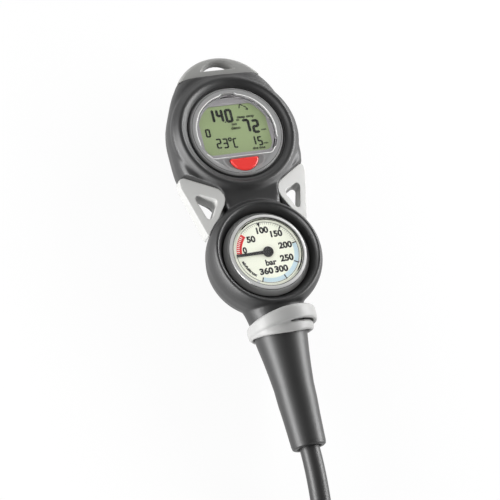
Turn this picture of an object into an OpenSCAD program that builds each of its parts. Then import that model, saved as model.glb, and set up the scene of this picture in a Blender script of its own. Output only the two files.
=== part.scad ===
// Two-gauge diving console: a dive computer above a pressure gauge in one
// rubber boot, with a swivelling high-pressure hose. Millimetres, +Z out of
// the two faces, +Y towards the hanging loop, the origin on the flat back
// under the gauge's centre.

/* [Boot] */
// Distance between the gauge's centre and the computer's centre
centre_gap = 85; // [80:0.5:95]
// Radius of the boot round the gauge
gauge_lobe_r = 37.6; // [36.5:0.1:42]
// Radius of the boot round the computer
computer_lobe_r = 43.5; // [42:0.1:48]
// Radius of the boot's crown, where the loop grows out of it
crown_r = 34.4; // [33:0.1:36]
// Height at which the boot is widest
mid_z = 24; // [20:0.5:27]
// Height of the rim round the gauge
gauge_rim_z = 39.4; // [38.5:0.1:42]
// Height of the rim round the computer
computer_rim_z = 38.6; // [38:0.1:41]
// Half width of the waist between the two lobes
waist_half = 18; // [15:0.5:20]
// Height of the waist between the two rims
waist_z = 34.5; // [32:0.1:36]
// Rubber under the gauge's case
gauge_floor_z = 9; // [7:0.1:10]
// Rubber under the computer's case
computer_floor_z = 8; // [7:0.1:9]

/* [Loop and eyelets] */
// Thickness of the hanging loop
loop_t = 8; // [6:0.5:10]
// Width of the bar that closes the hanging loop
loop_bar = 4; // [3:0.1:5]
// Width of the loop's slot
slot_w = 24; // [20:0.5:30]
// Height of the loop's slot
slot_h = 8.6; // [7:0.1:9.5]
// Lowest level of the side eyelets
eyelet_z = 17; // [16:0.5:21]
// Height of the eyelets' faces at their outer edge
eyelet_edge_z = 25.5; // [24:0.5:28]

/* [Gauge] */
// Radius of the gauge's chrome bezel
gauge_r = 26; // [25:0.1:27]
// Height of the bezel's outer edge
gauge_edge_z = 36; // [35.5:0.1:37]
// Radius of the dial that shows inside the bezel
dial_seen_r = 22.9; // [21.5:0.1:23.5]
// Wall of the gauge's case
gauge_wall = 1.4; // [1:0.1:1.8]
// Thickness of the dial plate
dial_t = 0.6; // [0.4:0.1:0.8]
// Thickness of the lens
lens_t = 1.3; // [1:0.1:1.6]
// Length of the needle from its centre to its tip
needle_l = 20.6; // [17:0.1:21]

/* [Movement] */
// Teeth of the pointer's pinion
pinion_teeth = 12; // [12:1:14]
// Teeth that the whole circle of the sector gear would have
sector_teeth = 84; // [84:1:90]
// Gear module, the pitch diameter for each tooth
gear_module = 0.25; // [0.25:0.005:0.26]
// Thickness of the sector gear
sector_t = 1.6; // [1.2:0.1:1.8]
// Distance from the sector's pivot to the link's pin
tail_l = 5.5; // [5:0.1:6]
// Mean radius of the coiled pressure tube
bourdon_r = 19; // [18.6:0.1:19.4]
// Height of the pressure tube's flat section
bourdon_h = 8; // [7:0.1:9]

/* [Computer] */
// Radius of the computer's bezel
computer_r = 31.4; // [30.8:0.1:32]
// Height of the bezel's outer edge
computer_edge_z = 36.1; // [35.5:0.1:36.6]
// Width of the bezel's face round the display window
bezel_face = 4.9; // [4.4:0.1:5.6]
// Thickness of the display window
window_t = 2.2; // [1.8:0.1:2.6]
// Wall of the computer's case
case_wall = 1.8; // [1.4:0.1:2]
// Radius of the battery door
door_r = 14; // [13.4:0.1:14.6]
// Radius of the coin cell
cell_r = 12.25; // [12.25:0.05:12.5]
// Thickness of the coin cell
cell_t = 5; // [4.6:0.1:5.4]

/* [Button] */
// Radius of the half-round button
button_r = 10; // [9:0.1:10.4]
// Height of the button's face
button_top_z = 37.7; // [37.2:0.1:38.2]
// How far the button goes in
button_travel = 0.8; // [0.5:0.1:0.9]
// Radius of the button's stem
button_stem_r = 1.5; // [1.2:0.1:1.6]

/* [Hose and swivel] */
// Height of the hose's axis where it enters the boot
hose_z = 20.5; // [20.5:0.1:21]
// Outside diameter of the hose
hose_d = 12.6; // [11.6:0.1:12.8]
// Radius of the boot's neck, round which the ring grips
neck_r = 17.4; // [17:0.1:18]
// Width of the grey ring's strap
strap_w = 10; // [8:0.5:11]
// Thickness of the grey ring
ring_t = 2; // [1.6:0.1:2.4]
// How far the strap loop stands out to the right of the neck
strap_out = 6; // [3:0.5:7]
// Turn of the strap across the neck, in degrees
strap_tilt = 11; // [6:0.5:13]
// Distance from the gauge's centre to the sleeve's mouth
sleeve_end = 124.5; // [121:0.5:130]
// Radius of the sleeve's mouth
sleeve_mouth_r = 11; // [10:0.1:11.4]
// Radius of the swivel's spool
spool_r = 2.5; // [2.2:0.1:2.8]
// Radius of the first-stage thread
thread_r = 5.56; // [5.3:0.01:5.8]

/* [Fits] */
// Radial clearance of parts that turn or slide in each other
running = 0.05; // [0.03:0.01:0.08]
// Radial clearance between a case and its rubber pocket
pocket_gap = 0.2; // [0.1:0.05:0.3]

/* [Hidden] */
$fn = 64;

rubber_black = [0.13, 0.13, 0.14];
rubber_grey = [0.78, 0.78, 0.76];
brass = [0.78, 0.62, 0.33];
chrome = [0.85, 0.86, 0.88];
plastic_black = [0.08, 0.08, 0.09];
plastic_silver = [0.66, 0.66, 0.67];

eps = 0.01;
cut = 1;

// --- levels and places that follow from the sizes above ---
computer_y = centre_gap;
gauge_pocket_r = gauge_r + pocket_gap;
computer_pocket_r = computer_r + pocket_gap;
egg_y = computer_y + 2;
brow_y = egg_y + 13;
brow_r = computer_lobe_r - 4.7;
cheek_y = egg_y - 14.5;
cheek_r = computer_lobe_r - 0.3;
crown_y = egg_y + 21.6;
crown_top_z = mid_z + 6;
rim_w = 2.2;
back_in = 11;
gauge_lip_r = gauge_pocket_r + 6.4;
computer_lip_r = computer_pocket_r + 4.6;
rim_foot = 4.4;

// Hanging loop and eyelets
loop_top_y = crown_y + crown_r;
slot_top_y = loop_top_y - loop_bar;
slot_low_y = slot_top_y - slot_h;
slot_end_h = 1;
slot_bevel_w = 1.4;
slot_bevel_h = 2;
loop_root = 2.6;
loop_y = slot_low_y - loop_root;
loop_mid_z = mid_z + 2;
loop_edge = 2.6;
eyelet_high = [computer_lobe_r - 2.9, computer_y - 27, 3];
eyelet_low = [gauge_lobe_r - 5.6, 20.5, 2];
eyelet_mid = [waist_half + 9.4, (eyelet_high[1] + eyelet_low[1]) / 2 + 2.2, 9.3];
hole_high = [eyelet_high[0] - 7.1, eyelet_high[1] - 13.2, 2.1];
hole_mid = [eyelet_mid[0] - 1, eyelet_mid[1] - 1.9, 2.9];
hole_low = [eyelet_low[0] - 2.1, eyelet_low[1] + 10.9, 1.9];
eyelet_out = eyelet_high[0] + eyelet_high[2];

// Gauge
case_r = gauge_r - 0.1;
case_in_r = case_r - gauge_wall;
case_top_z = gauge_edge_z - 1.6;
skirt_r = gauge_r + 2.2;
skirt_z = gauge_edge_z - 4;
skirt_gap = 0.4;
case_floor_z = gauge_floor_z + gauge_wall;
dial_z = gauge_edge_z - 0.1;
ledge_r = dial_seen_r - 2.4;
vent_at = [8, 8, 0];
needle_z = dial_z + 0.6;
needle_t = 0.4;
hub_r = 3.4;
lens_rim_z = gauge_edge_z + 0.1;
lens_dome_z = needle_z + needle_t + 0.6;
lens_r = gauge_r - 1;
lip_z = lens_rim_z + lens_t;

// Movement
module_in = gear_module;
pinion_r = pinion_teeth * module_in / 2;
sector_r = sector_teeth * module_in / 2;
arbor_gap = pinion_r + sector_r;
pivot_turn = 240;
pivot = arbor_gap * [cos(pivot_turn), sin(pivot_turn)];
mesh_turn = pivot_turn - 180;
tail_turn = 123;
pin_at = pivot + tail_l * [cos(tail_turn), sin(tail_turn)];
pressure_angle = 20;
backlash = 0.03;
sector_first = mesh_turn - 46;
sector_last = mesh_turn + 8;
plate_t = 1.3;
plate_low_z = 12.5;
pillars = [[8.6, 6.6], [-6, 8]];
plate_right = [9, -15.2, 2];
plate_left = [-9.6, -6, 2.4];
plate_foot_left = [-8.4, -18.6, 1.6];
plate_foot_right = [7, -18.6, 1.6];
block_z0 = plate_low_z + plate_t;
block_z1 = 27;
sector_z = 20.6;
arbor_r = 0.8;
pivot_r = 0.9;
pin_r = 0.6;
link_z = sector_z + sector_t + 0.4;
link_t = 0.8;
bourdon_z = link_z - 0.4 - bourdon_h;
bourdon_w = 2;
bourdon_wall = 0.4;
bourdon_first = -78;
bourdon_last = 197;
spring_z = 24.6;
block_half = 7;
block_y0 = -22;
block_y1 = -13.2;

// Computer
shell_r = computer_r - 0.2;
shell_top_z = computer_edge_z - 3.2;
column_at = shell_r - case_wall - 1.5;
column_turns = [45, 135, 222, 318];
window_z1 = computer_edge_z - 0.9;
window_z0 = window_z1 - window_t;
mask_t = 0.4;
lcd_t = 1.4;
lcd_z = window_z0 - mask_t - lcd_t;
window_r = computer_r - bezel_face;
window_low = 9.1 - window_r;
window_corner = 3;
window_gap = 0.05;
lug_out = 1;
seen_half = window_r - 3.5;
seen_low = window_low + 3.4;
seen_high = window_r - 6.1;
board_z = 24;
board_t = 1.4;
board_r = shell_r - case_wall - 2;
door_z0 = 5.2;
door_t = 4.4;
well_wall = 1.5;
cell_z = door_z0 + door_t + 0.4;
well_top_z = cell_z + cell_t + 1.6;
crown_bezel_z = computer_edge_z + 0.9;

// Button
button_y = computer_y + window_low - 0.8;
button_flat = 1.1;
button_corner = 1.3;
button_gap = 0.35;
button_base_z = button_top_z - 2.7;
button_floor_z = button_base_z - button_travel - 0.3;
stem_y = button_y - button_flat - 4.2;
guide_r = 4.2;
guide_z = 29.5;
spring_r = 2.35;
wire_r = 0.3;
spring_z0 = 31;
spring_z1 = button_base_z - 0.02;
stem_low_z = 27.9;
clip_t = 0.6;

// Hose, measured as s along -Y from the gauge's centre
stem_s = 37;
stem_r = 6.5;
collar_r = 6.6;
nut_s0 = 30;
nut_s1 = 45;
nut_flats = 17;
spool_end = 44;
spool_seal_s = [nut_s0 + 2, spool_end - 2];
insert_s0 = 37.4;
collar_t = 3.4;
insert_r = 5;
insert_end = 47;
ferrule_r = 7.4;
ferrule_end = 68;
hose_r = hose_d / 2;
root_end = sleeve_end - 3;
neck_s0 = gauge_lobe_r - 4.6;
neck_spread = 2.8;
neck_s1 = neck_s0 + 8;
neck_end = neck_s0 + 15;
swivel_room_r = 10.6;
sleeve_in_r = 9;
ring_s = neck_end - 2;
ring_w = 8.2;
strap_s = neck_end - 6;

// Route of the hose's free stretch, from inside the sleeve's mouth to the floor
hose_route = [for (p = [[0, 20.5], [13, 20.5], [28, 18.2], [43, 13.8], [58, 9.6], [73, 7.1],
    [86, 6.4], [99, 6.4]]) [0, -root_end - p[0], p[1]]];
coil_r = 70;
coil_start = hose_route[len(hose_route) - 1];
coil_centre = [-coil_r, coil_start[1] - 13];
coil_rings = 24;
coil_turn = 450;
climb_from = 250;
climb_to = 340;
fall_from = 375;
fall_to = 440;
layer = hose_d + 0.5;
fitting_z = nut_flats / 2 + 0.2;
stage_ferrule_l = 22;
stage_hex_end = stage_ferrule_l + 8;

// =============================================================== helpers

function dir(a) = [cos(a), sin(a)];
function smooth(t) = let (u = max(0, min(1, t))) u * u * (3 - 2 * u);

// Direction in which the outer tangent of circles a and b faces
function tangent_turn(a, b) = let (d = [b[0] - a[0], b[1] - a[1]])
    atan2(d[1], d[0]) - acos((a[2] - b[2]) / norm(d));

// Outline round circles [x, y, r], given anticlockwise
function outline(c, steps = 6) = [for (i = [0 : len(c) - 1])
    let (before = c[(i + len(c) - 1) % len(c)], this = c[i], after = c[(i + 1) % len(c)],
         a0 = tangent_turn(before, this), turn = tangent_turn(this, after) - a0,
         span = turn - 360 * floor(turn / 360))
    for (k = [0 : steps]) [this[0], this[1]] + this[2] * dir(a0 + span * k / steps)];

// Quarter ellipse from p, leaving level, to q, arriving upright
function bulge(p, q, steps = 5) = [for (k = [0 : steps]) let (a = 90 * k / steps)
    [p[0] + (q[0] - p[0]) * sin(a), p[1] + (q[1] - p[1]) * (1 - cos(a))]];

// Quarter ellipse from p, leaving upright, to q, arriving level
function shoulder(p, q, steps = 4) = [for (k = [1 : steps]) let (a = 90 * k / steps)
    [q[0] + (p[0] - q[0]) * cos(a), p[1] + (q[1] - p[1]) * sin(a)]];

module rod(r, z0, z1) {
    translate([0, 0, z0]) cylinder(r = r, h = z1 - z0);
}

module tube(r_out, r_in, z0, z1) {
    difference() {
        rod(r_out, z0, z1);
        rod(r_in, z0 - cut, z1 + cut);
    }
}

module torus(mid, r, z) {
    translate([0, 0, z]) rotate_extrude() translate([mid, 0]) circle(r = r, $fn = 24);
}

module plate(z0, z1) {
    translate([0, 0, z0]) linear_extrude(z1 - z0) children();
}

// Turns a shape made along +Z so that it runs along the hose's axis, towards -Y
module along_hose() {
    translate([0, 0, hose_z]) rotate([90, 0, 0]) children();
}

module at_computer() {
    translate([0, computer_y, 0]) children();
}

module in_pivot() {
    translate([pivot[0], pivot[1], 0]) children();
}

// Tube of flat faces round the points of a path that is never upright
module swept(path, r, sides) {
    last = len(path) - 1;
    rings = [for (i = [0 : last])
        let (t = path[min(last, i + 1)] - path[max(0, i - 1)], ahead = t / norm(t),
             side = cross(ahead, [0, 0, 1]) / norm(cross(ahead, [0, 0, 1])),
             up = cross(side, ahead))
        [for (k = [0 : sides - 1]) path[i] + r * (cos(360 * k / sides) * side
            + sin(360 * k / sides) * up)]];
    points = [for (ring = rings) each ring];
    walls = [for (i = [0 : last - 1], k = [0 : sides - 1])
        let (a = i * sides + k, b = i * sides + (k + 1) % sides)
        each [[a, a + sides, b], [b, a + sides, b + sides]]];
    near_cap = [for (k = [1 : sides - 2]) [0, k, k + 1]];
    far_cap = [for (k = [1 : sides - 2]) [last * sides, last * sides + k + 1, last * sides + k]];
    polyhedron(points, concat(walls, near_cap, far_cap));
}

// ================================================================== boot

// Half section of a lobe: flat back, bulging flank, and a top at top_r
function lobe_section(back_r, mid_r, top_r, top_z) = concat([[0, 0]],
    bulge([back_r, 0], [mid_r, mid_z]), shoulder([mid_r, mid_z], [top_r, top_z]), [[0, top_z]]);

// Egg of four lobes, each [y, radius, drop to the back's radius, height of its top]
module crown_body() {
    lobes = [[cheek_y, cheek_r, back_in, waist_z], [egg_y, computer_lobe_r, back_in, waist_z],
        [brow_y, brow_r, back_in + 5, waist_z - 1], [crown_y, crown_r, 2 * back_in, crown_top_z]];
    hull() for (lobe = lobes) translate([0, lobe[0], 0]) rotate_extrude($fn = 48)
        polygon(lobe_section(lobe[1] - lobe[2], lobe[1], lobe[1] - 6, lobe[3]));
}

module computer_turret() {
    crest_r = computer_lip_r + rim_w / 2;
    at_computer() rotate_extrude() polygon([
        [0, mid_z],
        [computer_lip_r + rim_w + rim_foot, mid_z],
        [computer_lip_r + rim_w + rim_foot, waist_z - 1],
        [computer_lip_r + rim_w + rim_foot - 1, waist_z + 0.3],
        [computer_lip_r + rim_w + rim_foot - 2.6, computer_rim_z - 2.2],
        [crest_r + 1.8, computer_rim_z - 0.8],
        [crest_r + 0.8, computer_rim_z - 0.15],
        [crest_r, computer_rim_z],
        [computer_lip_r, computer_rim_z - 0.4],
        [computer_lip_r - 1, computer_rim_z - 1.4],
        [computer_pocket_r + 2.2, computer_rim_z - 2.6],
        [computer_pocket_r + 1.6, computer_rim_z - 2.4],
        [computer_pocket_r + 1.1, computer_rim_z - 2.5],
        [computer_pocket_r + 0.8, computer_rim_z - 3.2],
        [computer_pocket_r - 1, computer_rim_z - 3.6],
        [0, computer_rim_z - 3.6]]);
}

module gauge_turret() {
    rotate_extrude() polygon(concat([[0, 0]],
        bulge([gauge_lobe_r - back_in - 3, 0], [gauge_lobe_r, mid_z + 4]),
        [[gauge_lobe_r - 0.4, mid_z + 8.5],
        [gauge_lobe_r - 1.4, waist_z + 1],
        [gauge_lip_r + rim_w, gauge_rim_z - 1.1],
        [gauge_lip_r + rim_w / 2, gauge_rim_z],
        [gauge_lip_r + 0.3, gauge_rim_z - 0.1],
        [0, gauge_rim_z - 0.1]]));
}

// Bowl inside the gauge's rim, round the bezel
module gauge_bowl() {
    bowl_z = skirt_z - skirt_gap;
    rotate_extrude() polygon([[0, bowl_z], [skirt_r + 0.3, bowl_z], [skirt_r + 0.8, bowl_z + 0.8],
        [gauge_lip_r - 2, gauge_rim_z - 4], [gauge_lip_r - 0.6, gauge_rim_z - 1],
        [gauge_lip_r + 0.3, gauge_rim_z - 0.1], [gauge_lip_r + 0.3, gauge_rim_z + cut],
        [0, gauge_rim_z + cut]]);
}

module waist_body() {
    translate([0, computer_y - 15, 0]) rotate([90, 0, 0])
        linear_extrude(computer_y - 25) polygon([
            [-waist_half + 5, 0], [waist_half - 5, 0], [waist_half - 1, 5], [waist_half, 10],
            [waist_half, waist_z - 1.2], [waist_half - 2, waist_z],
            [2 - waist_half, waist_z], [-waist_half, waist_z - 1.2],
            [-waist_half, 10], [1 - waist_half, 5]]);
}

// Root of the neck: wider than the neck, where it leaves the lobe
module neck_root(gap) {
    along_hose() for (x = [-1, 1]) translate([x * neck_spread, 0, neck_s0])
        cylinder(r = neck_r - 1 + gap, h = 1, $fn = 32);
}

module neck_body(gap = 0) {
    hull() {
        neck_root(gap);
        along_hose() translate([0, 0, neck_s1]) cylinder(r = neck_r + gap, h = 1, $fn = 32);
    }
    hull() {
        rod(gauge_lobe_r - 9 + gap, mid_z - 6, mid_z + 8, $fn = 32);
        rod(gauge_lobe_r - 15 + gap, 2 - gap, waist_z + gap, $fn = 32);
        neck_root(gap);
    }
    along_hose() rod(neck_r + gap, neck_s1, neck_end);
}

// Region behind the loop's root line
module beyond_loop_line() {
    translate([-computer_lobe_r, loop_y, -cut]) cube([2 * computer_lobe_r, crown_r, computer_rim_z]);
}

module boot() {
    color(rubber_black) difference() {
        union() {
            crown_body();
            computer_turret();
            gauge_turret();
            waist_body();
            neck_body();
        }
        beyond_loop_line();
        for (side = [0, 1]) mirror([side, 0, 0]) plate(-cut, computer_rim_z) eyelet_shape();
        rod(gauge_pocket_r, gauge_floor_z, gauge_rim_z + cut);
        gauge_bowl();
        translate(vent_at) rod(3, -cut, gauge_floor_z + cut);
        at_computer() {
            rod(computer_pocket_r, computer_floor_z, computer_rim_z + cut);
            rod(door_r + well_wall + 1.6, -cut, computer_floor_z + cut);
        }
        along_hose() rod(swivel_room_r, gauge_pocket_r - 6, neck_end + cut);
    }
}

// ====================================================== loop and eyelets

function eyelet_outline() = outline([eyelet_high, eyelet_mid, eyelet_low]);
function eyelet_hole() = outline([hole_high, hole_mid, hole_low]);

// Plan of the right eyelet, which ends against the lobe round the gauge
module eyelet_shape() {
    difference() {
        polygon(eyelet_outline());
        circle(r = gauge_lobe_r);
    }
}

// The loop is the tip of the egg that the boot's crown makes, rounded at its edge
module loop_tip() {
    low = loop_mid_z - loop_t / 2;
    high = loop_mid_z + loop_t / 2;
    translate([0, crown_y, 0]) rotate_extrude() polygon(concat(
        [[0, low]],
        bulge([crown_r - loop_edge, low], [crown_r, loop_mid_z]),
        shoulder([crown_r, loop_mid_z], [crown_r - loop_edge, high]),
        [[0, high]]));
}

// The slot is an arch over a straight foot, with a bevel at the loop's face
function slot_outline(grow = 0) =
    let (half = slot_w / 2, r = (half * half + slot_h * slot_h) / (2 * slot_h),
        first = asin((slot_end_h + r - slot_h) / r), foot = r * cos(first) + grow)
    concat([[slot_end_h - foot, slot_low_y - grow], [foot - slot_end_h, slot_low_y - grow]],
        [for (k = [0 : 12]) [0, slot_top_y - r] + (r + grow) * dir(first + k * (180 - 2 * first) / 12)]);

module slot_bevel() {
    face_z = loop_mid_z + loop_t / 2;
    hull() {
        plate(face_z - slot_bevel_h, face_z - slot_bevel_h + eps) polygon(slot_outline());
        plate(face_z, face_z + cut) polygon(slot_outline(slot_bevel_w));
    }
}

module top_loop() {
    color(rubber_grey) difference() {
        intersection() {
            loop_tip();
            beyond_loop_line();
        }
        plate(0, waist_z) polygon(slot_outline());
        slot_bevel();
    }
}

// Right eyelet: a plate whose face falls from the waist to its outer edge
module eyelet() {
    fall = (waist_z - eyelet_edge_z) / (eyelet_out - waist_half);
    difference() {
        intersection() {
            plate(eyelet_z, waist_z + cut) eyelet_shape();
            translate([0, computer_y, 0]) rotate([90, 0, 0]) linear_extrude(computer_y)
                polygon([[waist_half - 4, eyelet_z - cut], [eyelet_out - 1.5, eyelet_z - cut],
                    [eyelet_out, eyelet_z + 2], [eyelet_out, eyelet_edge_z - 1.4],
                    [eyelet_out - 1, eyelet_edge_z + fall], [waist_half, waist_z],
                    [waist_half - 4, waist_z + 4 * fall]]);
        }
        plate(eyelet_z - cut, waist_z + cut) polygon(eyelet_hole());
    }
}

module eyelet_right() {
    color(rubber_grey) eyelet();
}

module eyelet_left() {
    color(rubber_grey) mirror([1, 0, 0]) eyelet();
}

// ========================================================= ring and sleeve

// Outline of the strap: a stadium that stands out to the right of the neck
function strap_outline(r, out) = outline([[out, 0, r], [-0.8, 0, r]], 12);

// Strap as a band round the neck, its edges rounded
module strap_band(outer_r, out) {
    hull() for (step = [[0, 1.7], [0.4, 0.7], [1.2, 0.15], [2.4, 0]])
        plate(step[0] - strap_w / 2, strap_w / 2 - step[0]) polygon(strap_outline(outer_r - step[1], out));
}

module neck_ring() {
    grip_r = neck_r + 0.05;
    ring_r = grip_r + ring_t;
    color(rubber_grey) difference() {
        along_hose() {
            translate([0, 0, ring_s]) rotate_extrude() polygon(concat([[grip_r - 1, 0]],
                bulge([ring_r - 1.6, 0], [ring_r, 2.6], 4),
                shoulder([ring_r, ring_w - 2.6], [ring_r - 1.6, ring_w], 4),
                [[grip_r - 1, ring_w]]));
            translate([0, 0, strap_s]) rotate([0, strap_tilt, 0]) difference() {
                strap_band(ring_r + 0.3, strap_out - 0.8);
                plate(-strap_w, strap_w) polygon(strap_outline(grip_r, strap_out - 2.8));
            }
        }
        neck_body(0.1);
        along_hose() rod(grip_r, neck_s0, ring_s + ring_w + cut);
    }
}

module hose_sleeve() {
    start = neck_end;
    color(rubber_black) along_hose() difference() {
        rotate_extrude() polygon([[sleeve_in_r, start], [neck_r, start], [neck_r - 0.9, start + 7],
            [neck_r - 2.4, start + 17], [neck_r - 3.6, start + 27], [neck_r - 4.6, start + 37],
            [sleeve_mouth_r + 1.5, start + 47], [sleeve_mouth_r + 0.8, start + 57],
            [sleeve_mouth_r + 0.3, start + 67], [sleeve_mouth_r, sleeve_end - 2.5],
            [sleeve_mouth_r - 0.4, sleeve_end - 0.6], [sleeve_mouth_r - 1.3, sleeve_end],
            [hose_r + 1.6, sleeve_end], [hose_r + 1.1, sleeve_end - 1.5],
            [hose_r + 1, sleeve_end - 22], [sleeve_in_r, sleeve_end - 40]]);
    }
}

// ================================================================= gauge

module at_dial_screws() {
    for (a = [240, 335]) rotate(a) translate([dial_seen_r - 1.4, 0, 0]) children();
}

module gauge_case() {
    color(brass) difference() {
        union() {
            tube(case_r, case_in_r, gauge_floor_z, case_top_z);
            rod(case_r, gauge_floor_z, case_floor_z);
            tube(case_in_r + eps, ledge_r, dial_z - dial_t - 2.4, dial_z - dial_t);
        }
        along_hose() rod(stem_r + eps, -block_y1, stem_s);
        translate(vent_at) rod(4, gauge_floor_z - cut, case_floor_z + cut);
        at_dial_screws() rod(0.55, dial_z - 3, dial_z + cut);
    }
}

module gauge_bezel() {
    color(chrome) rotate_extrude() polygon([
        [gauge_r, case_top_z], [gauge_r, skirt_z], [skirt_r, skirt_z], [skirt_r, skirt_z + 0.7],
        [skirt_r - 0.4, skirt_z + 1.4], [gauge_r + 0.9, gauge_edge_z - 1.4],
        [gauge_r - 0.1, gauge_edge_z + 0.4], [gauge_r - 1, lip_z + 0.2],
        [dial_seen_r + 1, lip_z + 0.5], [dial_seen_r + 0.3, lip_z + 0.5], [dial_seen_r, lip_z + 0.3],
        [dial_seen_r, lip_z], [lens_r + 0.1, lip_z], [lens_r + 0.1, case_top_z]]);
}

module gauge_lens() {
    color([0.9, 0.95, 1, 0.3]) rotate_extrude() polygon([
        [0, lens_dome_z], [dial_seen_r - 1.4, lens_dome_z], [dial_seen_r - 0.4, lens_rim_z],
        [lens_r, lens_rim_z], [lens_r, lip_z], [dial_seen_r - 0.1, lip_z],
        [dial_seen_r - 0.6, lens_dome_z + lens_t - 0.4], [12, lens_dome_z + lens_t - 0.1],
        [0, lens_dome_z + lens_t]]);
}

module lens_seal() {
    color(plastic_black) tube(lens_r, dial_seen_r, dial_z - dial_t, lens_rim_z);
}

module gauge_dial() {
    color([0.95, 0.94, 0.85]) difference() {
        rod(dial_seen_r - 0.1, dial_z - dial_t, dial_z);
        rod(arbor_r + 0.5, dial_z - 2, dial_z + cut);
        at_dial_screws() rod(0.55, dial_z - 2, dial_z + cut);
    }
}

// The two screws that hold the dial on the case's ledge
module dial_screws() {
    color(chrome) at_dial_screws() {
        rod(0.95, dial_z, dial_z + 0.25);
        rod(0.5, dial_z - 1.8, dial_z + eps);
    }
}

// Flattened section of the coiled pressure tube
module bourdon_section(grow) {
    half_w = bourdon_w / 2 + grow;
    half_h = bourdon_h / 2 + grow;
    translate([bourdon_r, bourdon_z + bourdon_h / 2]) polygon([
        [half_w, -half_h + 1], [half_w, half_h - 1], [half_w - 0.6, half_h],
        [0.6 - half_w, half_h], [-half_w, half_h - 1], [-half_w, 1 - half_h],
        [0.6 - half_w, -half_h], [half_w - 0.6, -half_h]]);
}

module bourdon_solid(grow, first, last) {
    rotate(first) rotate_extrude(angle = last - first) bourdon_section(grow);
}

module bourdon_tube() {
    color(brass) difference() {
        bourdon_solid(0, bourdon_first, bourdon_last);
        bourdon_solid(-bourdon_wall, bourdon_first - 2, bourdon_last - 4);
    }
}

// Brass block that carries the pressure from the stem to the coiled tube
module stem_block() {
    color(brass) difference() {
        union() {
            translate([-block_half, block_y0, block_z0])
                cube([2 * block_half, block_y1 - block_y0, block_z1 - block_z0]);
            along_hose() rod(stem_r, -block_y0 - 1, stem_s);
        }
        bourdon_solid(0, bourdon_first, bourdon_last);
        along_hose() {
            rod(spool_r + running, nut_s0 - 3, stem_s + cut);
            rod(0.8, 18, nut_s0);
        }
        rotate(bourdon_first) translate([bourdon_r, 0, hose_z]) rotate([90, 0, 0])
            rod(0.7, -1, 4.3);
        at_plate_screws() {
            rod(0.8, block_z1 - 3, block_z1 + cut);
            rod(0.8, block_z0 - cut, block_z0 + 3);
        }
    }
}

module at_plate_screws() {
    for (x = [-4.5, 4.5]) translate([x, block_y1 - 2, 0]) children();
}

// The two plates that carry the arbors, and the pillars between them
module movement_plate(z0) {
    difference() {
        plate(z0, z0 + plate_t) polygon(outline([plate_right, [pillars[0][0], pillars[0][1], 2.4],
            [pillars[1][0], pillars[1][1], 2.4], plate_left, plate_foot_left, plate_foot_right]));
        rod(arbor_r + running, z0 - cut, z0 + plate_t + cut);
        in_pivot() rod(pivot_r + running, z0 - cut, z0 + plate_t + cut);
        at_plate_screws() rod(0.8, z0 - cut, z0 + plate_t + cut);
    }
}

module movement_frame() {
    color(brass) {
        movement_plate(plate_low_z);
        movement_plate(block_z1);
        for (p = pillars) translate([p[0], p[1], 0])
            rod(1.2, block_z0, block_z1);
    }
}

module movement_screws() {
    color(chrome) at_plate_screws() {
        rod(1.3, block_z1 + plate_t, block_z1 + plate_t + 0.8);
        rod(0.75, block_z1 - 2.6, block_z1 + plate_t + eps);
        rod(1.3, plate_low_z - 0.8, plate_low_z);
        rod(0.75, plate_low_z - eps, block_z0 + 2.6);
    }
}

module blowout_plug() {
    color([0.8, 0.15, 0.12]) translate(vent_at) {
        rod(3.95, gauge_floor_z + 0.2, case_floor_z);
        rod(5.2, case_floor_z, case_floor_z + 0.8);
    }
}

// ------------------------------------------------------- gear profiles

function involute(a) = tan(a) * 180 / PI - a;

// Half the angle that a tooth fills at radius rho
function tooth_half(teeth, rho) = let (r = teeth * module_in / 2, base = r * cos(pressure_angle))
    90 / teeth - backlash / 2 / r * 180 / PI + involute(pressure_angle)
        - involute(acos(min(1, base / max(rho, base))));

// One tooth centred on angle a, as points from its root to its tip and back
function tooth(teeth, a, tip_r, root_r) = let (base = teeth * module_in / 2 * cos(pressure_angle),
        low = max(root_r, base), rs = [for (k = [0 : 3]) low + (tip_r - low) * k / 3])
    concat([root_r * dir(a - tooth_half(teeth, low))],
        [for (k = [0 : 3]) rs[k] * dir(a - tooth_half(teeth, rs[k]))],
        [for (k = [3 : -1 : 0]) rs[k] * dir(a + tooth_half(teeth, rs[k]))],
        [root_r * dir(a + tooth_half(teeth, low))]);

module pinion_profile() {
    step = 360 / pinion_teeth;
    polygon([for (i = [0 : pinion_teeth - 1]) each tooth(pinion_teeth, pivot_turn + i * step,
        pinion_r + 0.9 * module_in, pinion_r - 1.15 * module_in)]);
}

module sector_profile() {
    step = 360 / sector_teeth;
    first = ceil((sector_first - mesh_turn) / step - 0.5);
    last = floor((sector_last - mesh_turn) / step - 0.5);
    polygon(concat([2.2 * dir(mesh_turn - 110)],
        [for (i = [first : last]) each tooth(sector_teeth, mesh_turn + (i + 0.5) * step,
            sector_r + 0.6 * module_in, sector_r - 1.2 * module_in)],
        [2.2 * dir(mesh_turn + 70)]));
}

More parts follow.
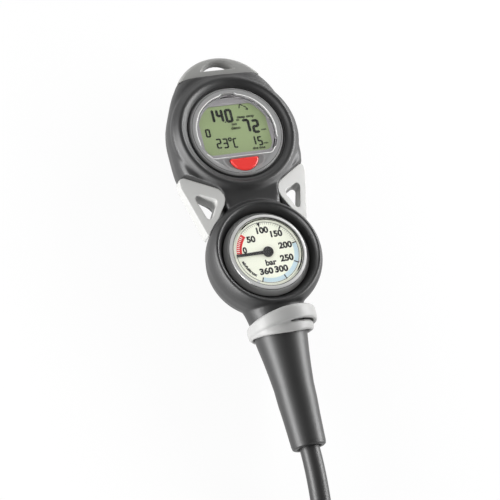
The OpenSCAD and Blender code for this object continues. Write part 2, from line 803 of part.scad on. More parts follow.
module sector_gear() {
    pin = tail_l * dir(tail_turn);
    tail = outline([[0, 0, 1.8], [pin[0], pin[1], 1.3]]);
    color(brass) in_pivot() {
        difference() {
            plate(sector_z, sector_z + sector_t) union() {
                sector_profile();
                circle(r = 2.2);
                polygon(tail);
            }
            plate(sector_z - cut, sector_z + sector_t + cut) polygon(outline([
                for (p = [[5, -34], [8.4, -36], [8.4, -19], [8.4, -2], [5, -4]])
                    [p[0] * cos(mesh_turn + p[1]), p[0] * sin(mesh_turn + p[1]), 0.7]]));
        }
        rod(pivot_r, plate_low_z, sector_z + eps);
        rod(pivot_r, sector_z + sector_t - eps, block_z1 + plate_t);
        rod(1.7, block_z0 + 0.2, sector_z + eps);
        rod(1.7, sector_z + sector_t - eps, block_z1 - 0.2);
        translate([pin[0], pin[1], 0])
            rod(pin_r, sector_z + sector_t - eps, link_z + link_t + 0.3);
    }
}

// Thin strip from the sector's tail to the tube's closed end, which it rides over
module link_rod() {
    tip = bourdon_r * dir(bourdon_last);
    color(chrome) difference() {
        plate(link_z, link_z + link_t) polygon(outline([[pin_at[0], pin_at[1], 1.2], [tip[0], tip[1], 1]]));
        translate([pin_at[0], pin_at[1], 0]) rod(pin_r + running, link_z - cut, link_z + link_t + cut);
    }
}

module pinion_arbor() {
    color(chrome) {
        rod(arbor_r, plate_low_z, needle_z + needle_t / 2);
        plate(sector_z - 1.2, sector_z + sector_t + 1.2) pinion_profile();
        rod(1.7, spring_z - 0.6, spring_z + 1.2);
    }
}

// Flat spiral that takes up the play of the teeth
module hairspring() {
    turns = 4;
    steps = 18 * turns;
    function spiral(extra) = [for (k = [0 : steps])
        (1.7 + 3.4 * k / steps + extra) * dir(360 * turns * k / steps)];
    inner = spiral(0);
    outer = spiral(0.16);
    color([0.6, 0.45, 0.2]) plate(spring_z, spring_z + 0.6)
        polygon(concat(outer, [for (k = [steps : -1 : 0]) inner[k]]));
}

module needle() {
    color(plastic_black) difference() {
        union() {
            plate(needle_z, needle_z + needle_t) polygon([[-needle_l, 0.8], [-needle_l, -0.8],
                [-hub_r, -1.1], [hub_r - 0.6, -1.4], [hub_r - 0.6, 1.4], [-hub_r, 1.1]]);
            rod(hub_r, needle_z - 0.2, needle_z + needle_t + 0.3);
        }
        rod(arbor_r, needle_z - cut, needle_z + needle_t / 2);
    }
}

// ============================================================== computer

// Circle of radius r cut flat at y = low, its two corners rounded to radius c
function flat_round(r, low, c) = let (x = sqrt(pow(r - c, 2) - pow(low + c, 2)), a = atan2(low + c, x))
    concat([for (k = [0 : 4]) [x, low + c] + c * dir(-90 + (a + 90) * k / 4)],
        [for (k = [1 : 39]) r * dir(a + (180 - 2 * a) * k / 40)],
        [for (k = [0 : 4]) [-x, low + c] + c * dir(180 - a + (a + 90) * k / 4)]);

// Window outline with the three lugs that key it into the bezel
lug_turns = [[-33, -14], [81, 99], [194, 213]];
function on_lug(a) = len([for (lug = lug_turns) if (a >= lug[0] && a <= lug[1]) 1]) > 0;
function window_outline(gap) = [for (p = flat_round(window_r + gap, window_low - gap, window_corner + gap))
    let (a = atan2(p[1], p[0]), turn = a < -90 ? a + 360 : a)
    norm(p) > window_r - 0.5 && on_lug(turn) ? p * (norm(p) + lug_out) / norm(p) : p];

// The part of the display that shows
function seen_outline() = flat_round(window_r - 1.8, seen_low, 4);

// Half-round button with its flat side towards the display
function button_outline(grow) = [for (p = flat_round(button_r + grow, button_flat - grow, button_corner))
    [p[0], -p[1]]];

module at_button() {
    translate([0, button_y, 0]) children();
}

module at_stem() {
    translate([0, stem_y, 0]) children();
}

module at_sensor() {
    translate([-door_r - 7, 0, 0]) children();
}

module at_columns() {
    for (a = column_turns) rotate(a) translate([column_at, 0, 0]) children();
}

module computer_case() {
    wall_mid = shell_r - case_wall / 2;
    color(plastic_black) at_computer() difference() {
        union() {
            difference() {
                rod(shell_r, computer_floor_z, shell_top_z);
                rod(shell_r - case_wall, computer_floor_z + case_wall, shell_top_z + cut);
            }
            rod(door_r + well_wall, door_z0, well_top_z);
            at_columns() rod(1.9, computer_floor_z + 1, shell_top_z - 1);
        }
        rod(door_r + running, door_z0 - cut, well_top_z - 1.2);
        at_columns() {
            rod(0.95, computer_floor_z, shell_top_z + cut);
            rod(1.5, computer_floor_z - cut, shell_top_z - 8);
        }
        at_sensor() rod(1, computer_floor_z - cut, computer_floor_z + 3);
        tube(wall_mid + 0.5, wall_mid - 0.5, shell_top_z - 1.06, shell_top_z + 2);
    }
}

module bezel_ring() {
    at_computer() rotate_extrude() polygon([
        [0, shell_top_z], [computer_r, shell_top_z],
        [computer_r, computer_edge_z - 0.5], [computer_r - 0.4, computer_edge_z],
        [computer_r - 1.2, computer_edge_z + 0.7], [computer_r - 2.2, crown_bezel_z],
        [window_r + 1.2, crown_bezel_z - 0.1], [window_r, computer_edge_z + 0.3],
        [0, computer_edge_z + 0.3]]);
}

module computer_bezel() {
    color(plastic_silver) difference() {
        union() {
            bezel_ring();
            at_stem() rod(guide_r, guide_z, button_floor_z);
        }
        at_computer() plate(shell_top_z - cut, 60) polygon(window_outline(window_gap));
        at_button() plate(button_floor_z, 60) polygon(button_outline(button_gap));
        at_stem() {
            rod(button_stem_r + running, guide_z - cut, 60);
            rod(spring_r + wire_r + 0.25, spring_z0, 60);
            rod(button_stem_r + 1.2, guide_z + 0.3, guide_z + 1.1);
        }
        at_computer() at_columns() rod(0.9, shell_top_z - cut, shell_top_z + 2.4);
    }
}

module display_window() {
    color([0.85, 0.9, 0.88, 0.3]) at_computer() plate(window_z0, window_z1) polygon(window_outline(0));
}

module display_mask() {
    color([0.55, 0.53, 0.55]) at_computer() plate(window_z0 - mask_t, window_z0 - window_gap) difference() {
        polygon(flat_round(window_r - 0.7, window_low + 0.3, window_corner));
        intersection() {
            polygon(seen_outline());
            translate([-seen_half, -window_r]) square([2 * seen_half, window_r + seen_high]);
        }
    }
}

module lcd_panel() {
    color([0.6, 0.66, 0.46]) at_computer() plate(lcd_z, lcd_z + lcd_t) intersection() {
        circle(r = window_r - 0.9);
        translate([-window_r, seen_low - 1.4]) square([2 * window_r, seen_high - seen_low + 2.4]);
    }
}

module backlight_guide() {
    color([0.9, 0.9, 0.85]) at_computer() plate(board_z + board_t, lcd_z) intersection() {
        circle(r = window_r - 3);
        translate([2 - seen_half, seen_low + 1]) square([2 * seen_half - 4, seen_high - seen_low - 3]);
    }
}

module circuit_board() {
    color([0.1, 0.35, 0.2]) at_computer() plate(board_z, board_z + board_t) difference() {
        circle(r = board_r);
        at_columns() circle(r = 2.3);
    }
}

module buzzer() {
    color(plastic_black) at_computer() translate([17, 10, 0]) tube(4.5, 1, board_z - 2.2, board_z);
}

module battery() {
    color(chrome) at_computer() {
        rod(cell_r, cell_z, cell_z + cell_t - 0.6);
        rod(cell_r - 1.2, cell_z + cell_t - 0.6 - eps, cell_z + cell_t);
    }
}

// Spring leaf between the coin cell and the top of its well
module battery_contact() {
    color(brass) at_computer() plate(cell_z + cell_t, cell_z + cell_t + 0.4) union() {
        circle(r = 3);
        translate([0, -1.5]) square([10, 3]);
    }
}

module pressure_sensor() {
    color(chrome) at_computer() at_sensor() {
        rod(3.4, computer_floor_z + case_wall, computer_floor_z + case_wall + 1.6);
        rod(2.6, computer_floor_z + case_wall + 1.6 - eps, board_z);
    }
}

module case_seal() {
    color(plastic_black) at_computer() torus(shell_r - case_wall / 2, 0.48, shell_top_z - 0.5);
}

module case_screws() {
    color(chrome) at_computer() at_columns() {
        rod(1.45, shell_top_z - 9.2, shell_top_z - 8);
        rod(0.85, shell_top_z - 8 - eps, shell_top_z + 2.2);
    }
}

module tact_switch() {
    color(plastic_black) at_stem() {
        translate([-1.8, -1.8, board_z + board_t]) cube([3.6, 3.6, 1]);
        rod(0.9, board_z + board_t + 1 - eps, stem_low_z - button_travel - 0.05);
    }
}

module battery_door() {
    color(plastic_black) at_computer() difference() {
        rod(door_r, door_z0, door_z0 + door_t);
        tube(door_r + 1, door_r - 1.35, door_z0 + door_t - 2.1, door_z0 + door_t - 0.7);
        translate([-door_r * 0.7, -0.9, door_z0 - cut]) cube([door_r * 1.4, 1.8, 1.6 + cut]);
    }
}

module door_seal() {
    color([0.8, 0.3, 0.15]) at_computer() torus(door_r - 0.67, 0.65, door_z0 + door_t - 1.4);
}

// ================================================================ button

module button_cap() {
    color([0.85, 0.12, 0.1]) difference() {
        at_button() {
            plate(button_base_z, button_top_z - 0.7) polygon(button_outline(0));
            plate(button_top_z - 0.7 - eps, button_top_z) polygon(button_outline(-0.6));
        }
        at_stem() rod(button_stem_r, button_base_z - cut, button_base_z + 1.4);
    }
}

module button_stem() {
    color(chrome) at_stem() rod(button_stem_r, stem_low_z, button_base_z + 1.4);
}

module button_clip() {
    color(chrome) at_stem() tube(button_stem_r + 1.1, button_stem_r, guide_z - clip_t - 0.3, guide_z - 0.3);
}

module button_spring() {
    coils = 4;
    steps = 8 * coils;
    low = spring_z0 + wire_r;
    rise = spring_z1 - wire_r - low;
    color(chrome) at_stem() swept([for (k = [0 : steps])
        [spring_r * cos(45 * k), spring_r * sin(45 * k), low + rise * k / steps]], wire_r, 6);
}

module button_seal() {
    color(plastic_black) at_stem() torus(button_stem_r + 0.6, 0.38, guide_z + 0.7);
}

// ======================================================== hose and swivel

module hex_bar(flats, s0, s1) {
    translate([0, 0, s0]) cylinder(r = flats / 2 / cos(30), h = s1 - s0, $fn = 6);
}

module swivel_nut() {
    color(chrome) along_hose() difference() {
        hex_bar(nut_flats, nut_s0, nut_s1);
        rod(stem_r + running, nut_s0 - cut, stem_s + 0.2);
        rod(collar_r + 0.35, stem_s + 0.2 - eps, insert_s0 + collar_t + 0.35);
        rod(insert_r + running, nut_s0, nut_s1 + cut);
    }
}

module swivel_spool() {
    color(brass) along_hose() difference() {
        rod(spool_r, nut_s0, spool_end);
        for (s = spool_seal_s) tube(spool_r + 1, spool_r - 1.2, s - 0.65, s + 0.65);
        rod(0.6, nut_s0 - cut, spool_end + cut);
    }
}

module spool_seals() {
    color(plastic_black) along_hose() for (s = spool_seal_s) torus(spool_r - 0.58, 0.58, s);
}

module hose_insert() {
    color(chrome) along_hose() difference() {
        union() {
            rod(collar_r, insert_s0, insert_s0 + collar_t);
            rod(insert_r, insert_s0, insert_end);
        }
        rod(spool_r + running, insert_s0 - cut, spool_end + 0.4);
        rod(1.5, spool_end, insert_end + cut);
    }
}

// Crimped ferrule: a sleeve with two rolled grooves
module ferrule(length) {
    difference() {
        rod(ferrule_r, 0, length);
        for (s = [length * 0.35, length * 0.7]) torus(ferrule_r + 0.5, 1.1, s);
    }
}

module gauge_ferrule() {
    color(chrome) along_hose() translate([0, 0, insert_end]) ferrule(ferrule_end - insert_end);
}

module hose_root() {
    color(rubber_black) along_hose() rod(hose_r, ferrule_end, root_end);
}

module hose_stretch() {
    color(rubber_black) swept(hose_route, hose_r, 10);
}

// Centreline of the coil: a turn and a quarter. The end climbs onto the first
// turn, comes down beside it and runs off it, a diameter straight at each end
coil_z = coil_start[2];
function climbed(a) = smooth((a - climb_from) / (climb_to - climb_from));
function fallen(a) = smooth((a - fall_from) / (fall_to - fall_from));
function ring_radius(a) = coil_r + layer * sin(90 * fallen(a));
function on_ring(a) = [coil_centre[0] + ring_radius(a) * cos(a), coil_centre[1] - ring_radius(a) * sin(a),
    coil_z + layer * climbed(a) * cos(90 * fallen(a)) + (fitting_z - coil_z) * fallen(a)];
ring_points = [for (k = [0 : coil_turn * coil_rings / 360]) on_ring(k * 360 / coil_rings)];
ring_end = ring_points[len(ring_points) - 1];
fitting_way = [-sin(coil_turn), -cos(coil_turn)];
fitting_at = ring_end + hose_d * [fitting_way[0], fitting_way[1], 0];
coil_points = concat([coil_start], ring_points, [fitting_at]);
coil_gap = min([for (i = [0 : len(coil_points) - 1], j = [i + 10 : 1 : len(coil_points) - 1])
    norm(coil_points[i] - coil_points[j])]) - hose_d;
echo(coil_gap = coil_gap);

module hose_coil() {
    color(rubber_black) swept(coil_points, hose_r, 6);
}

module at_fitting() {
    translate(fitting_at) rotate([0, 0, atan2(fitting_way[1], fitting_way[0]) + 90])
        rotate([90, 0, 0]) children();
}

module stage_ferrule() {
    color(chrome) at_fitting() ferrule(stage_ferrule_l);
}

module stage_fitting() {
    color(chrome) at_fitting() difference() {
        union() {
            hex_bar(nut_flats, stage_ferrule_l, stage_hex_end);
            rod(thread_r - 0.9, stage_hex_end - eps, stage_hex_end + 2);
            rod(thread_r, stage_hex_end + 2 - eps, stage_hex_end + 11);
        }
        rod(1.6, stage_ferrule_l - cut, stage_hex_end + 11 + cut);
    }
}

module stage_seal() {
    color(plastic_black) at_fitting() torus(thread_r + 0.05, 0.9, stage_hex_end + 0.95);
}

boot();
top_loop();
eyelet_left();
eyelet_right();
neck_ring();
hose_sleeve();
gauge_case();
gauge_bezel();
gauge_lens();
lens_seal();
gauge_dial();
dial_screws();
stem_block();
bourdon_tube();
movement_frame();
movement_screws();
blowout_plug();
needle();
pinion_arbor();
hairspring();
sector_gear();
link_rod();
computer_case();
computer_bezel();
display_window();
display_mask();
lcd_panel();
backlight_guide();
circuit_board();
buzzer();
battery();
battery_contact();
pressure_sensor();
case_seal();
case_screws();
tact_switch();
battery_door();
door_seal();
button_cap();
button_stem();
button_clip();
button_spring();
button_seal();
swivel_nut();
swivel_spool();
spool_seals();
hose_insert();
gauge_ferrule();
hose_root();
hose_stretch();
hose_coil();
stage_ferrule();
stage_fitting();
stage_seal();
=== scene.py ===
"""Dresses the diving console: rubber, metal, printed dial, display and hose, on a pale stage."""

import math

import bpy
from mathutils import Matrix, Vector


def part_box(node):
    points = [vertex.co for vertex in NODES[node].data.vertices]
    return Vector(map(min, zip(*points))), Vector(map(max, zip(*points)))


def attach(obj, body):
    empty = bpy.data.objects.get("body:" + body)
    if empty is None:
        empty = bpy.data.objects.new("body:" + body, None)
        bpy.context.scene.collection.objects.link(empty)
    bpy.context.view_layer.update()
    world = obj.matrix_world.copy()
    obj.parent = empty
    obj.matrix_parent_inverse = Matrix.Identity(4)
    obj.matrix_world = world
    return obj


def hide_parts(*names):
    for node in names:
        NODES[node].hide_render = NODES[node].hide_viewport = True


bl_info = {
    "name": "Diving Console",
    "version": (1, 0, 0),
    "blender": (4, 5, 0),
    "location": "View3D > Sidebar > Console",
    "description": "Finishes for a two-gauge diving console and its hose",
    "category": "Object",
}

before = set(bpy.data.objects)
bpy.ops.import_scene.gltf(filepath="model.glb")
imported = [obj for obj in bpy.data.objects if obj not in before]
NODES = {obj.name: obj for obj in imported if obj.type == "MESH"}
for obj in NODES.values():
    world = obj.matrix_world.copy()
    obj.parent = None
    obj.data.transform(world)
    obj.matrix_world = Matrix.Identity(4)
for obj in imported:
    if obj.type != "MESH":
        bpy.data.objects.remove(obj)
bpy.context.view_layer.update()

# A millimetre in metres. Sizes, places and levels below are in millimetres and turns in degrees,
# unless a comment says otherwise
MM = 0.001


def top_of(node):
    """Level of a solid's highest point."""
    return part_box(node)[1][2] / MM


# The camera: place in metres, turn in radians, lens and sensor, and near and far limits in metres
CAMERA_PLACE = (-0.31689, -0.30268, 0.92575)
CAMERA_TURN = (0.383894, -0.245438, -0.243674)
CAMERA_LENS, CAMERA_SENSOR = 113.04, 36.0
CAMERA_NEAR, CAMERA_FAR = 0.05, 20.0

# Levels of the faces that carry print or trim
DIAL_LEVEL, DISPLAY_LEVEL = top_of("gauge_dial"), top_of("lcd_panel")
BEZEL_LEVEL, MASK_LEVEL, GAUGE_LEVEL = top_of("computer_bezel"), top_of("display_mask"), top_of("gauge_bezel")

# Thickness of all print
INK = 0.03
# Letters in metres: the size at which they are drawn before they are fitted to their place, and how much
# their strokes are thickened at that size, in numbers, in words and in the word on an arc
LETTER_SIZE = 0.01
NUMBER_WEIGHT, WORD_WEIGHT, ARC_WEIGHT = 0.0005, 0.0004, 0.0007

# Numbers of the dial with their centres, their height and the pitch and gap of their digits; a 1 is narrow
NUMERALS = (("0", -14.6, 3.3), ("50", -8.9, 10.0), ("100", -0.1, 15.1), ("150", 8.6, 11.6),
            ("200", 12.5, 3.2), ("250", 11.4, -5.4), ("300", 6.0, -12.1), ("360", -4.0, -12.3))
NUMERAL_HIGH, NUMERAL_PITCH, NUMERAL_GAP, NARROW_BY = 4.5, 3.1, 0.3, 1.0
# Turns on the dial of 0, 50, 100, 200 and 360, and of the long marks from 150 on
ZERO_TURN, FIFTY_TURN, HUNDRED_TURN, TWO_HUNDRED_TURN, FULL_TURN = 178.5, 135.6, 95.1, 12.2, -113.5
LONG_MARKS = (52.4, TWO_HUNDRED_TURN, -27.5, -67.1, FULL_TURN)
# Marks of the dial: inner end, outer end and width
LONG_MARK, ZERO_MARK = (17.6, 20.8, 0.75), (17.4, 20.8, 1.5)
FINE_MARK, WHITE_MARK = (18.8, 20.3, 0.22), (18.4, 20.1, 0.45)
# Parts into which fine marks divide 50 to 100 and 100 to 200, and white marks the red band
LOW_PARTS, HIGH_PARTS, WHITE_PARTS = 10, 20, 10
# Bands of the dial: inner and outer radius. The rim's line is drawn in parts
RIM_LINE, RED_BAND, BLUE_BAND = (20.35, 20.65), (16.9, 20.4), (17.4, 20.2)
RIM_PARTS = 10
# Turns by which the red band stops short of 0, the white scale on it short of 50 and 0, and the blue band
# short of its long marks
RED_SHORT, WHITE_SHORT, BLUE_SHORT = 2.5, 2.0, 1.4
# The white marks lie just above the red band, and the blue band a little lower than the black marks
WHITE_RISE, BLUE_SINK = 0.04, 0.01
# The arrow at 100: radius of its tip, radius of its foot and half the turn that its foot takes
ARROW_TIP, ARROW_FOOT, ARROW_HALF = 16.8, 20.3, 3.1
# Words of the dial: centre, width and height of the unit, and radius, first turn, last turn and height of
# the gas
UNIT = ((0.4, -6.9), 7.4, 4.2)
GAS = (17.9, 192.0, 234.0, 2.0)

# Bars of a seven-bar digit, by the digit. A bar's tip is a share of its stroke, and a share of that tip lies
# past the bar's end
BARS = {"0": "abcdef", "1": "bc", "2": "abged", "3": "abgcd", "4": "fgbc", "5": "afgcd", "7": "abc",
        "C": "adef", "o": "abgf"}
BAR_TIP, BAR_PAST = 0.4, 0.6
# What the display shows: digit, centre, width, height and stroke
DIGITS = (("1", -13.7, 98.8, 4.8, 10.0, 1.85), ("4", -7.7, 98.5, 5.0, 10.0, 1.85),
          ("0", -1.7, 97.9, 5.3, 10.0, 1.85), ("7", 8.5, 89.4, 5.3, 10.0, 1.85),
          ("2", 14.7, 88.4, 5.3, 10.0, 1.85), ("0", -18.4, 87.2, 3.5, 6.1, 1.15),
          ("2", -12.8, 79.1, 3.7, 7.2, 1.1), ("3", -8.4, 78.8, 3.7, 7.2, 1.1),
          ("o", -4.9, 80.2, 2.6, 4.8, 0.95), ("C", -1.7, 78.3, 3.2, 7.2, 1.1),
          ("1", 11.0, 78.4, 2.6, 6.8, 1.1), ("5", 15.1, 77.7, 3.3, 6.8, 1.1))
DECIMAL_POINT = ((-5.3, 93.2), (-4.4, 93.2), (-4.4, 94.1), (-5.3, 94.1))
# Words of the display: centre, width and height
WORDS = (("m", (3.7, 94.1), 2.0, 1.3), ("deep stop", (9.3, 95.9), 11.8, 2.6), ("no", (0.7, 91.4), 3.6, 1.5),
         ("deco", (1.1, 88.9), 6.4, 2.3), ("dive time", (13.2, 73.1), 8.6, 1.9),
         ("min", (19.6, 85.6), 3.4, 1.3), ("min", (18.7, 75.9), 3.2, 1.3))
# The dive's profile: the ends of its bars, their stroke and the arrow that ends it
PROFILE = (((6.6, 102.4), (7.5, 105.2)), ((7.9, 105.2), (9.5, 103.9)), ((9.9, 103.6), (11.3, 102.9)),
           ((11.3, 102.4), (12.4, 101.2)))
PROFILE_STROKE = 0.75
PROFILE_ARROW = ((10.4, 101.4), (12.9, 101.7), (12.2, 100.4))

# Outline of the display window about the computer's centre: radius, the line that cuts it below, corners,
# how far its lugs stand out, and the turns that they take
COMPUTER_Y = 85.0
WINDOW_RADIUS, WINDOW_LOW, WINDOW_CORNER, LUG_OUT = 26.5, -17.4, 3.0, 1.0
LUG_TURNS = ((-33, -14), (81, 99), (194, 213))
# How far outside that outline the window's bead lies, and how far inside it the mask's edge
BEAD_GROW, MASK_GROW = 0.3, -0.45
# The recess round the button: centre, radius, the line that cuts it above and corners
RECESS_Y, RECESS_RADIUS, RECESS_HIGH, RECESS_CORNER = 69.8, 15.0, -3.5, 1.5
# Steps of an outline's corners and of the long arcs of the window, of the recess and of the blue band
CORNER_STEPS, WINDOW_STEPS, RECESS_STEPS, BLUE_STEPS = 4, 60, 30, 60

# Grid of a moulded skin and turns of smoothing, for the button and for the neck ring
BUTTON_GRID, BUTTON_TURNS = 0.2, 14
RING_GRID, RING_TURNS = 0.45, 12
# How far the softened button's foot is raised
BUTTON_FOOT = 0.95
# Corners of a copied solid are joined within this distance, in metres
WELD = 0.000002

# Level of the neck's axis, from which the knots of the neck ring are measured
NECK_LEVEL = 20.5
# The neck ring's two bands: knots left, top, right and under the neck, each x, z and the distance along
# the hose, and a share of the band's size there
LOW_BAND = ((-18.5, 0.0, 48.6, 0.85), (0.0, 18.8, 51.5, 1.2),
            (20.4, -1.0, 48.0, 1.1), (0.0, -18.9, 48.0, 1.0))
STRAP = ((-19.2, 0.0, 46.3, 0.85), (0.0, 20.8, 43.2, 1.15),
         (23.6, 1.0, 41.8, 1.15), (0.0, -19.0, 44.0, 1.0))
# Thickness of both bands, and the width of each
BAND_THICK, LOW_BAND_WIDE, STRAP_WIDE = 3.0, 5.6, 8.4

# Size and middle of the bar between the hanging loop's slot and the boot, flush with the loop's face
SILL_SIZE = (27.0, 4.2, 7.4)
SILL_PLACE = (0.0, 130.9, top_of("top_loop") - SILL_SIZE[2] / 2)

# Route of the hose's free stretch: x, y and z of its knots
HOSE_ROUTE = ((0, -121.5, 20.5), (0, -134.5, 20.5), (0, -149.5, 18.2), (0, -164.5, 13.8),
              (0, -179.5, 9.6), (0, -194.5, 7.1), (0, -207.5, 6.4), (0, -220.5, 6.4))
HOSE_DIAMETER = 12.6
# The coil that follows it: radius, how far its centre lies past the route, turn, and steps to a full turn
COIL_RADIUS, COIL_PAST, COIL_TURN, COIL_STEPS = 70, 13, 450, 24
# Turns at which the hose climbs on to its own first layer and comes down beside it
CLIMB_FROM, CLIMB_TO, FALL_FROM, FALL_TO = 250, 340, 375, 440
# Centre's level on the floor, the rise from layer to layer, and the level at the fitting
HOSE_LEVEL, HOSE_LAYER, FITTING_LEVEL = 6.4, 13.1, 8.7

# Moulded grain: its usual scale, the slow change of gloss and tone, and its depth in metres
GRAIN_SCALE, CHANGE_SCALE, GRAIN_DEPTH = 1500.0, 60.0, 0.00004
# Marks of turning: scale, how far they are drawn out, strength, spread of gloss, and depth in metres
TURNED_SCALE, TURNED_LONG, TURNED_BUMP, TURNED_SPREAD, TURNED_DEPTH = 3000.0, 0.04, 0.05, 0.06, 0.00002
# The lens and the window bend light less than solid plastic would, so what lies below keeps its place
CLEAR_IOR = 1.15

# Which solids take which finish
DRESSING = (
    ("boot rubber", "boot"),
    ("insert rubber", "eyelet_left", "eyelet_right"),
    ("shaded insert rubber", "top_loop"),
    ("ring rubber", "neck_ring"),
    ("hose rubber", "hose_sleeve", "hose_root", "hose_stretch", "hose_coil"),
    ("seal rubber", "lens_seal", "case_seal", "button_seal", "spool_seals", "stage_seal"),
    ("door seal rubber", "door_seal"),
    ("chrome", "gauge_bezel"),
    ("nut chrome", "swivel_nut", "gauge_ferrule", "stage_ferrule", "stage_fitting"),
    ("steel", "dial_screws", "movement_screws", "pinion_arbor", "link_rod", "case_screws", "button_stem",
     "button_clip", "button_spring", "hose_insert", "battery", "pressure_sensor"),
    ("brass", "gauge_case", "stem_block", "bourdon_tube", "movement_frame", "sector_gear", "hairspring",
     "swivel_spool", "battery_contact"),
    ("dial paint", "gauge_dial"),
    ("dial black", "needle"),
    ("lens plastic", "gauge_lens"),
    ("window plastic", "display_window"),
    ("plug plastic", "blowout_plug"),
    ("case plastic", "computer_case", "battery_door", "tact_switch", "buzzer"),
    ("bezel plastic", "computer_bezel"),
    ("mask plastic", "display_mask"),
    ("display glass", "lcd_panel"),
    ("guide plastic", "backlight_guide"),
    ("board lacquer", "circuit_board"),
    ("button plastic", "button_cap"),
)

# Stage in metres: the floor, how much of its look is its own glow, and the lamps
FLOOR_SIZE, FLOOR_LEVEL, FLOOR_GLOW = 16.0, -0.0003, 0.92
LAMP_LONG, LAMP_HIGH, LAMP_AIM = 1.1, 0.24, (0, 0, 0.02)
# Each lamp: name, place, the setting of its power and its share of that power
LAMPS = (("lamp_left", (-0.62, -0.1, 0.13), "sides", 1.15),
         ("lamp_right", (0.6, 0.05, 0.2), "sides", 1.0),
         ("lamp_back", (0.1, 0.75, 0.3), "back", 1.0))
# The sky by direction, as parts of one: where it starts and ends to grow brighter sideways, and how many
# times; then where it starts and ends to grow darker towards the hose, and the share of light left there
SIDE_FROM, SIDE_TO, SIDE_TIMES = 0.4, 0.9, 3
DARK_FROM, DARK_TO, DARK_SHARE = -0.1, -0.8, 0.3


# ---------------------------------------------------------------- settings

class ConsoleFinishes(bpy.types.PropertyGroup):
    boot: bpy.props.FloatVectorProperty(name="Boot", description="Colour of the boot's rubber",
                                        subtype="COLOR", default=(0.009, 0.009, 0.0093))
    insert: bpy.props.FloatVectorProperty(name="Inserts", description="Colour of the eyelets",
                                          subtype="COLOR", default=(0.42, 0.42, 0.41))
    # The hanging loop is of the eyelets' rubber; its colour is set darker, as painted shade
    loop: bpy.props.FloatVectorProperty(name="Hanging loop", description="Colour of the hanging loop",
                                        subtype="COLOR", default=(0.3, 0.3, 0.29))
    ring: bpy.props.FloatVectorProperty(name="Neck ring", description="Colour of the neck ring",
                                        subtype="COLOR", default=(0.345, 0.345, 0.34))
    hose: bpy.props.FloatVectorProperty(name="Hose", description="Colour of the sleeve and the hose",
                                        subtype="COLOR", default=(0.011, 0.011, 0.011))
    bezel: bpy.props.FloatVectorProperty(name="Bezel", description="Colour of the computer's bezel",
                                         subtype="COLOR", default=(0.3, 0.3, 0.3))
    dial: bpy.props.FloatVectorProperty(name="Dial", description="Colour of the dial's paint",
                                        subtype="COLOR", default=(0.8, 0.82, 0.7))
    display: bpy.props.FloatVectorProperty(name="Display", description="Colour of the display's ground",
                                           subtype="COLOR", default=(0.252, 0.32, 0.155))
    button: bpy.props.FloatVectorProperty(name="Button", description="Colour of the button",
                                          subtype="COLOR", default=(0.83, 0.044, 0.038))
    grain: bpy.props.FloatProperty(name="Grain", description="Strength of the rubber's fine grain",
                                   default=0.12, min=0.0, max=1.0, subtype="FACTOR")


class ConsoleHose(bpy.types.PropertyGroup):
    diameter: bpy.props.FloatProperty(name="Diameter", description="Outside diameter of the hose",
                                      default=HOSE_DIAMETER * MM, unit="LENGTH")


class ConsoleStage(bpy.types.PropertyGroup):
    floor: bpy.props.FloatVectorProperty(name="Floor", description="Colour of the floor",
                                         subtype="COLOR", default=(0.9, 0.9, 0.9))
    sides: bpy.props.FloatProperty(name="Side lamps", description="Power of the two side lamps",
                                   default=8.0, min=0.0, unit="POWER")
    back: bpy.props.FloatProperty(name="Back lamp", description="Power of the lamp beyond the hanging loop",
                                  default=1.5, min=0.0, unit="POWER")
    sky: bpy.props.FloatProperty(name="Sky", description="Strength of the soft light from all round",
                                 default=0.25, min=0.0)


# ------------------------------------------------------------- small tools

def clear():
    """Leaves edit mode and selects nothing."""
    if bpy.context.object and bpy.context.object.mode != "OBJECT":
        bpy.ops.object.mode_set(mode="OBJECT")
    bpy.ops.object.select_all(action="DESELECT")


def only(*objects):
    """Selects these objects alone, the first of them active."""
    clear()
    for each in objects:
        each.select_set(True)
    bpy.context.view_layer.objects.active = objects[0]


def settle():
    """Puts the active object's place, turn and size into its mesh."""
    bpy.ops.object.transform_apply(location=True, rotation=True, scale=True)


def join(objects):
    """Joins objects into the first of them."""
    only(*objects)
    bpy.ops.object.join()
    settle()
    return bpy.context.object


def finish(piece, name, material, body):
    """Names a piece, gives it its material and lets it move with its body."""
    only(piece)
    settle()
    piece.name = name
    piece.data.name = name
    piece.data.materials.clear()
    piece.data.materials.append(bpy.data.materials[material])
    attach(piece, body)


def smooth(t):
    """Eases from 0 to 1."""
    t = max(0.0, min(1.0, t))
    return t * t * (3.0 - 2.0 * t)


def around(radius, turn):
    """The point at a radius and a turn."""
    return radius * math.cos(math.radians(turn)), radius * math.sin(math.radians(turn))


def arc(x, y, radius, first, last, steps):
    """Points along an arc, both ends included."""
    turns = [first + (last - first) * k / steps for k in range(steps + 1)]
    return [(x + dx, y + dy) for dx, dy in (around(radius, turn) for turn in turns)]


def window_outline(grow):
    """The window's edge: a circle cut flat below, its corners rounded, with three lugs."""
    radius, low, corner = WINDOW_RADIUS + grow, WINDOW_LOW - grow, WINDOW_CORNER + grow
    x, y = math.sqrt((radius - corner) ** 2 - (low + corner) ** 2), low + corner
    turn = math.degrees(math.atan2(y, x))
    points = arc(x, y, corner, -90, turn, CORNER_STEPS)
    for k in range(1, WINDOW_STEPS):
        at = turn + (180 - 2 * turn) * k / WINDOW_STEPS
        lug = any(first <= at <= last for first, last in LUG_TURNS)
        points.append(around(radius + LUG_OUT * lug, at))
    points += arc(-x, y, corner, 180 - turn, 270, CORNER_STEPS)
    return [(px, py + COMPUTER_Y) for px, py in points]


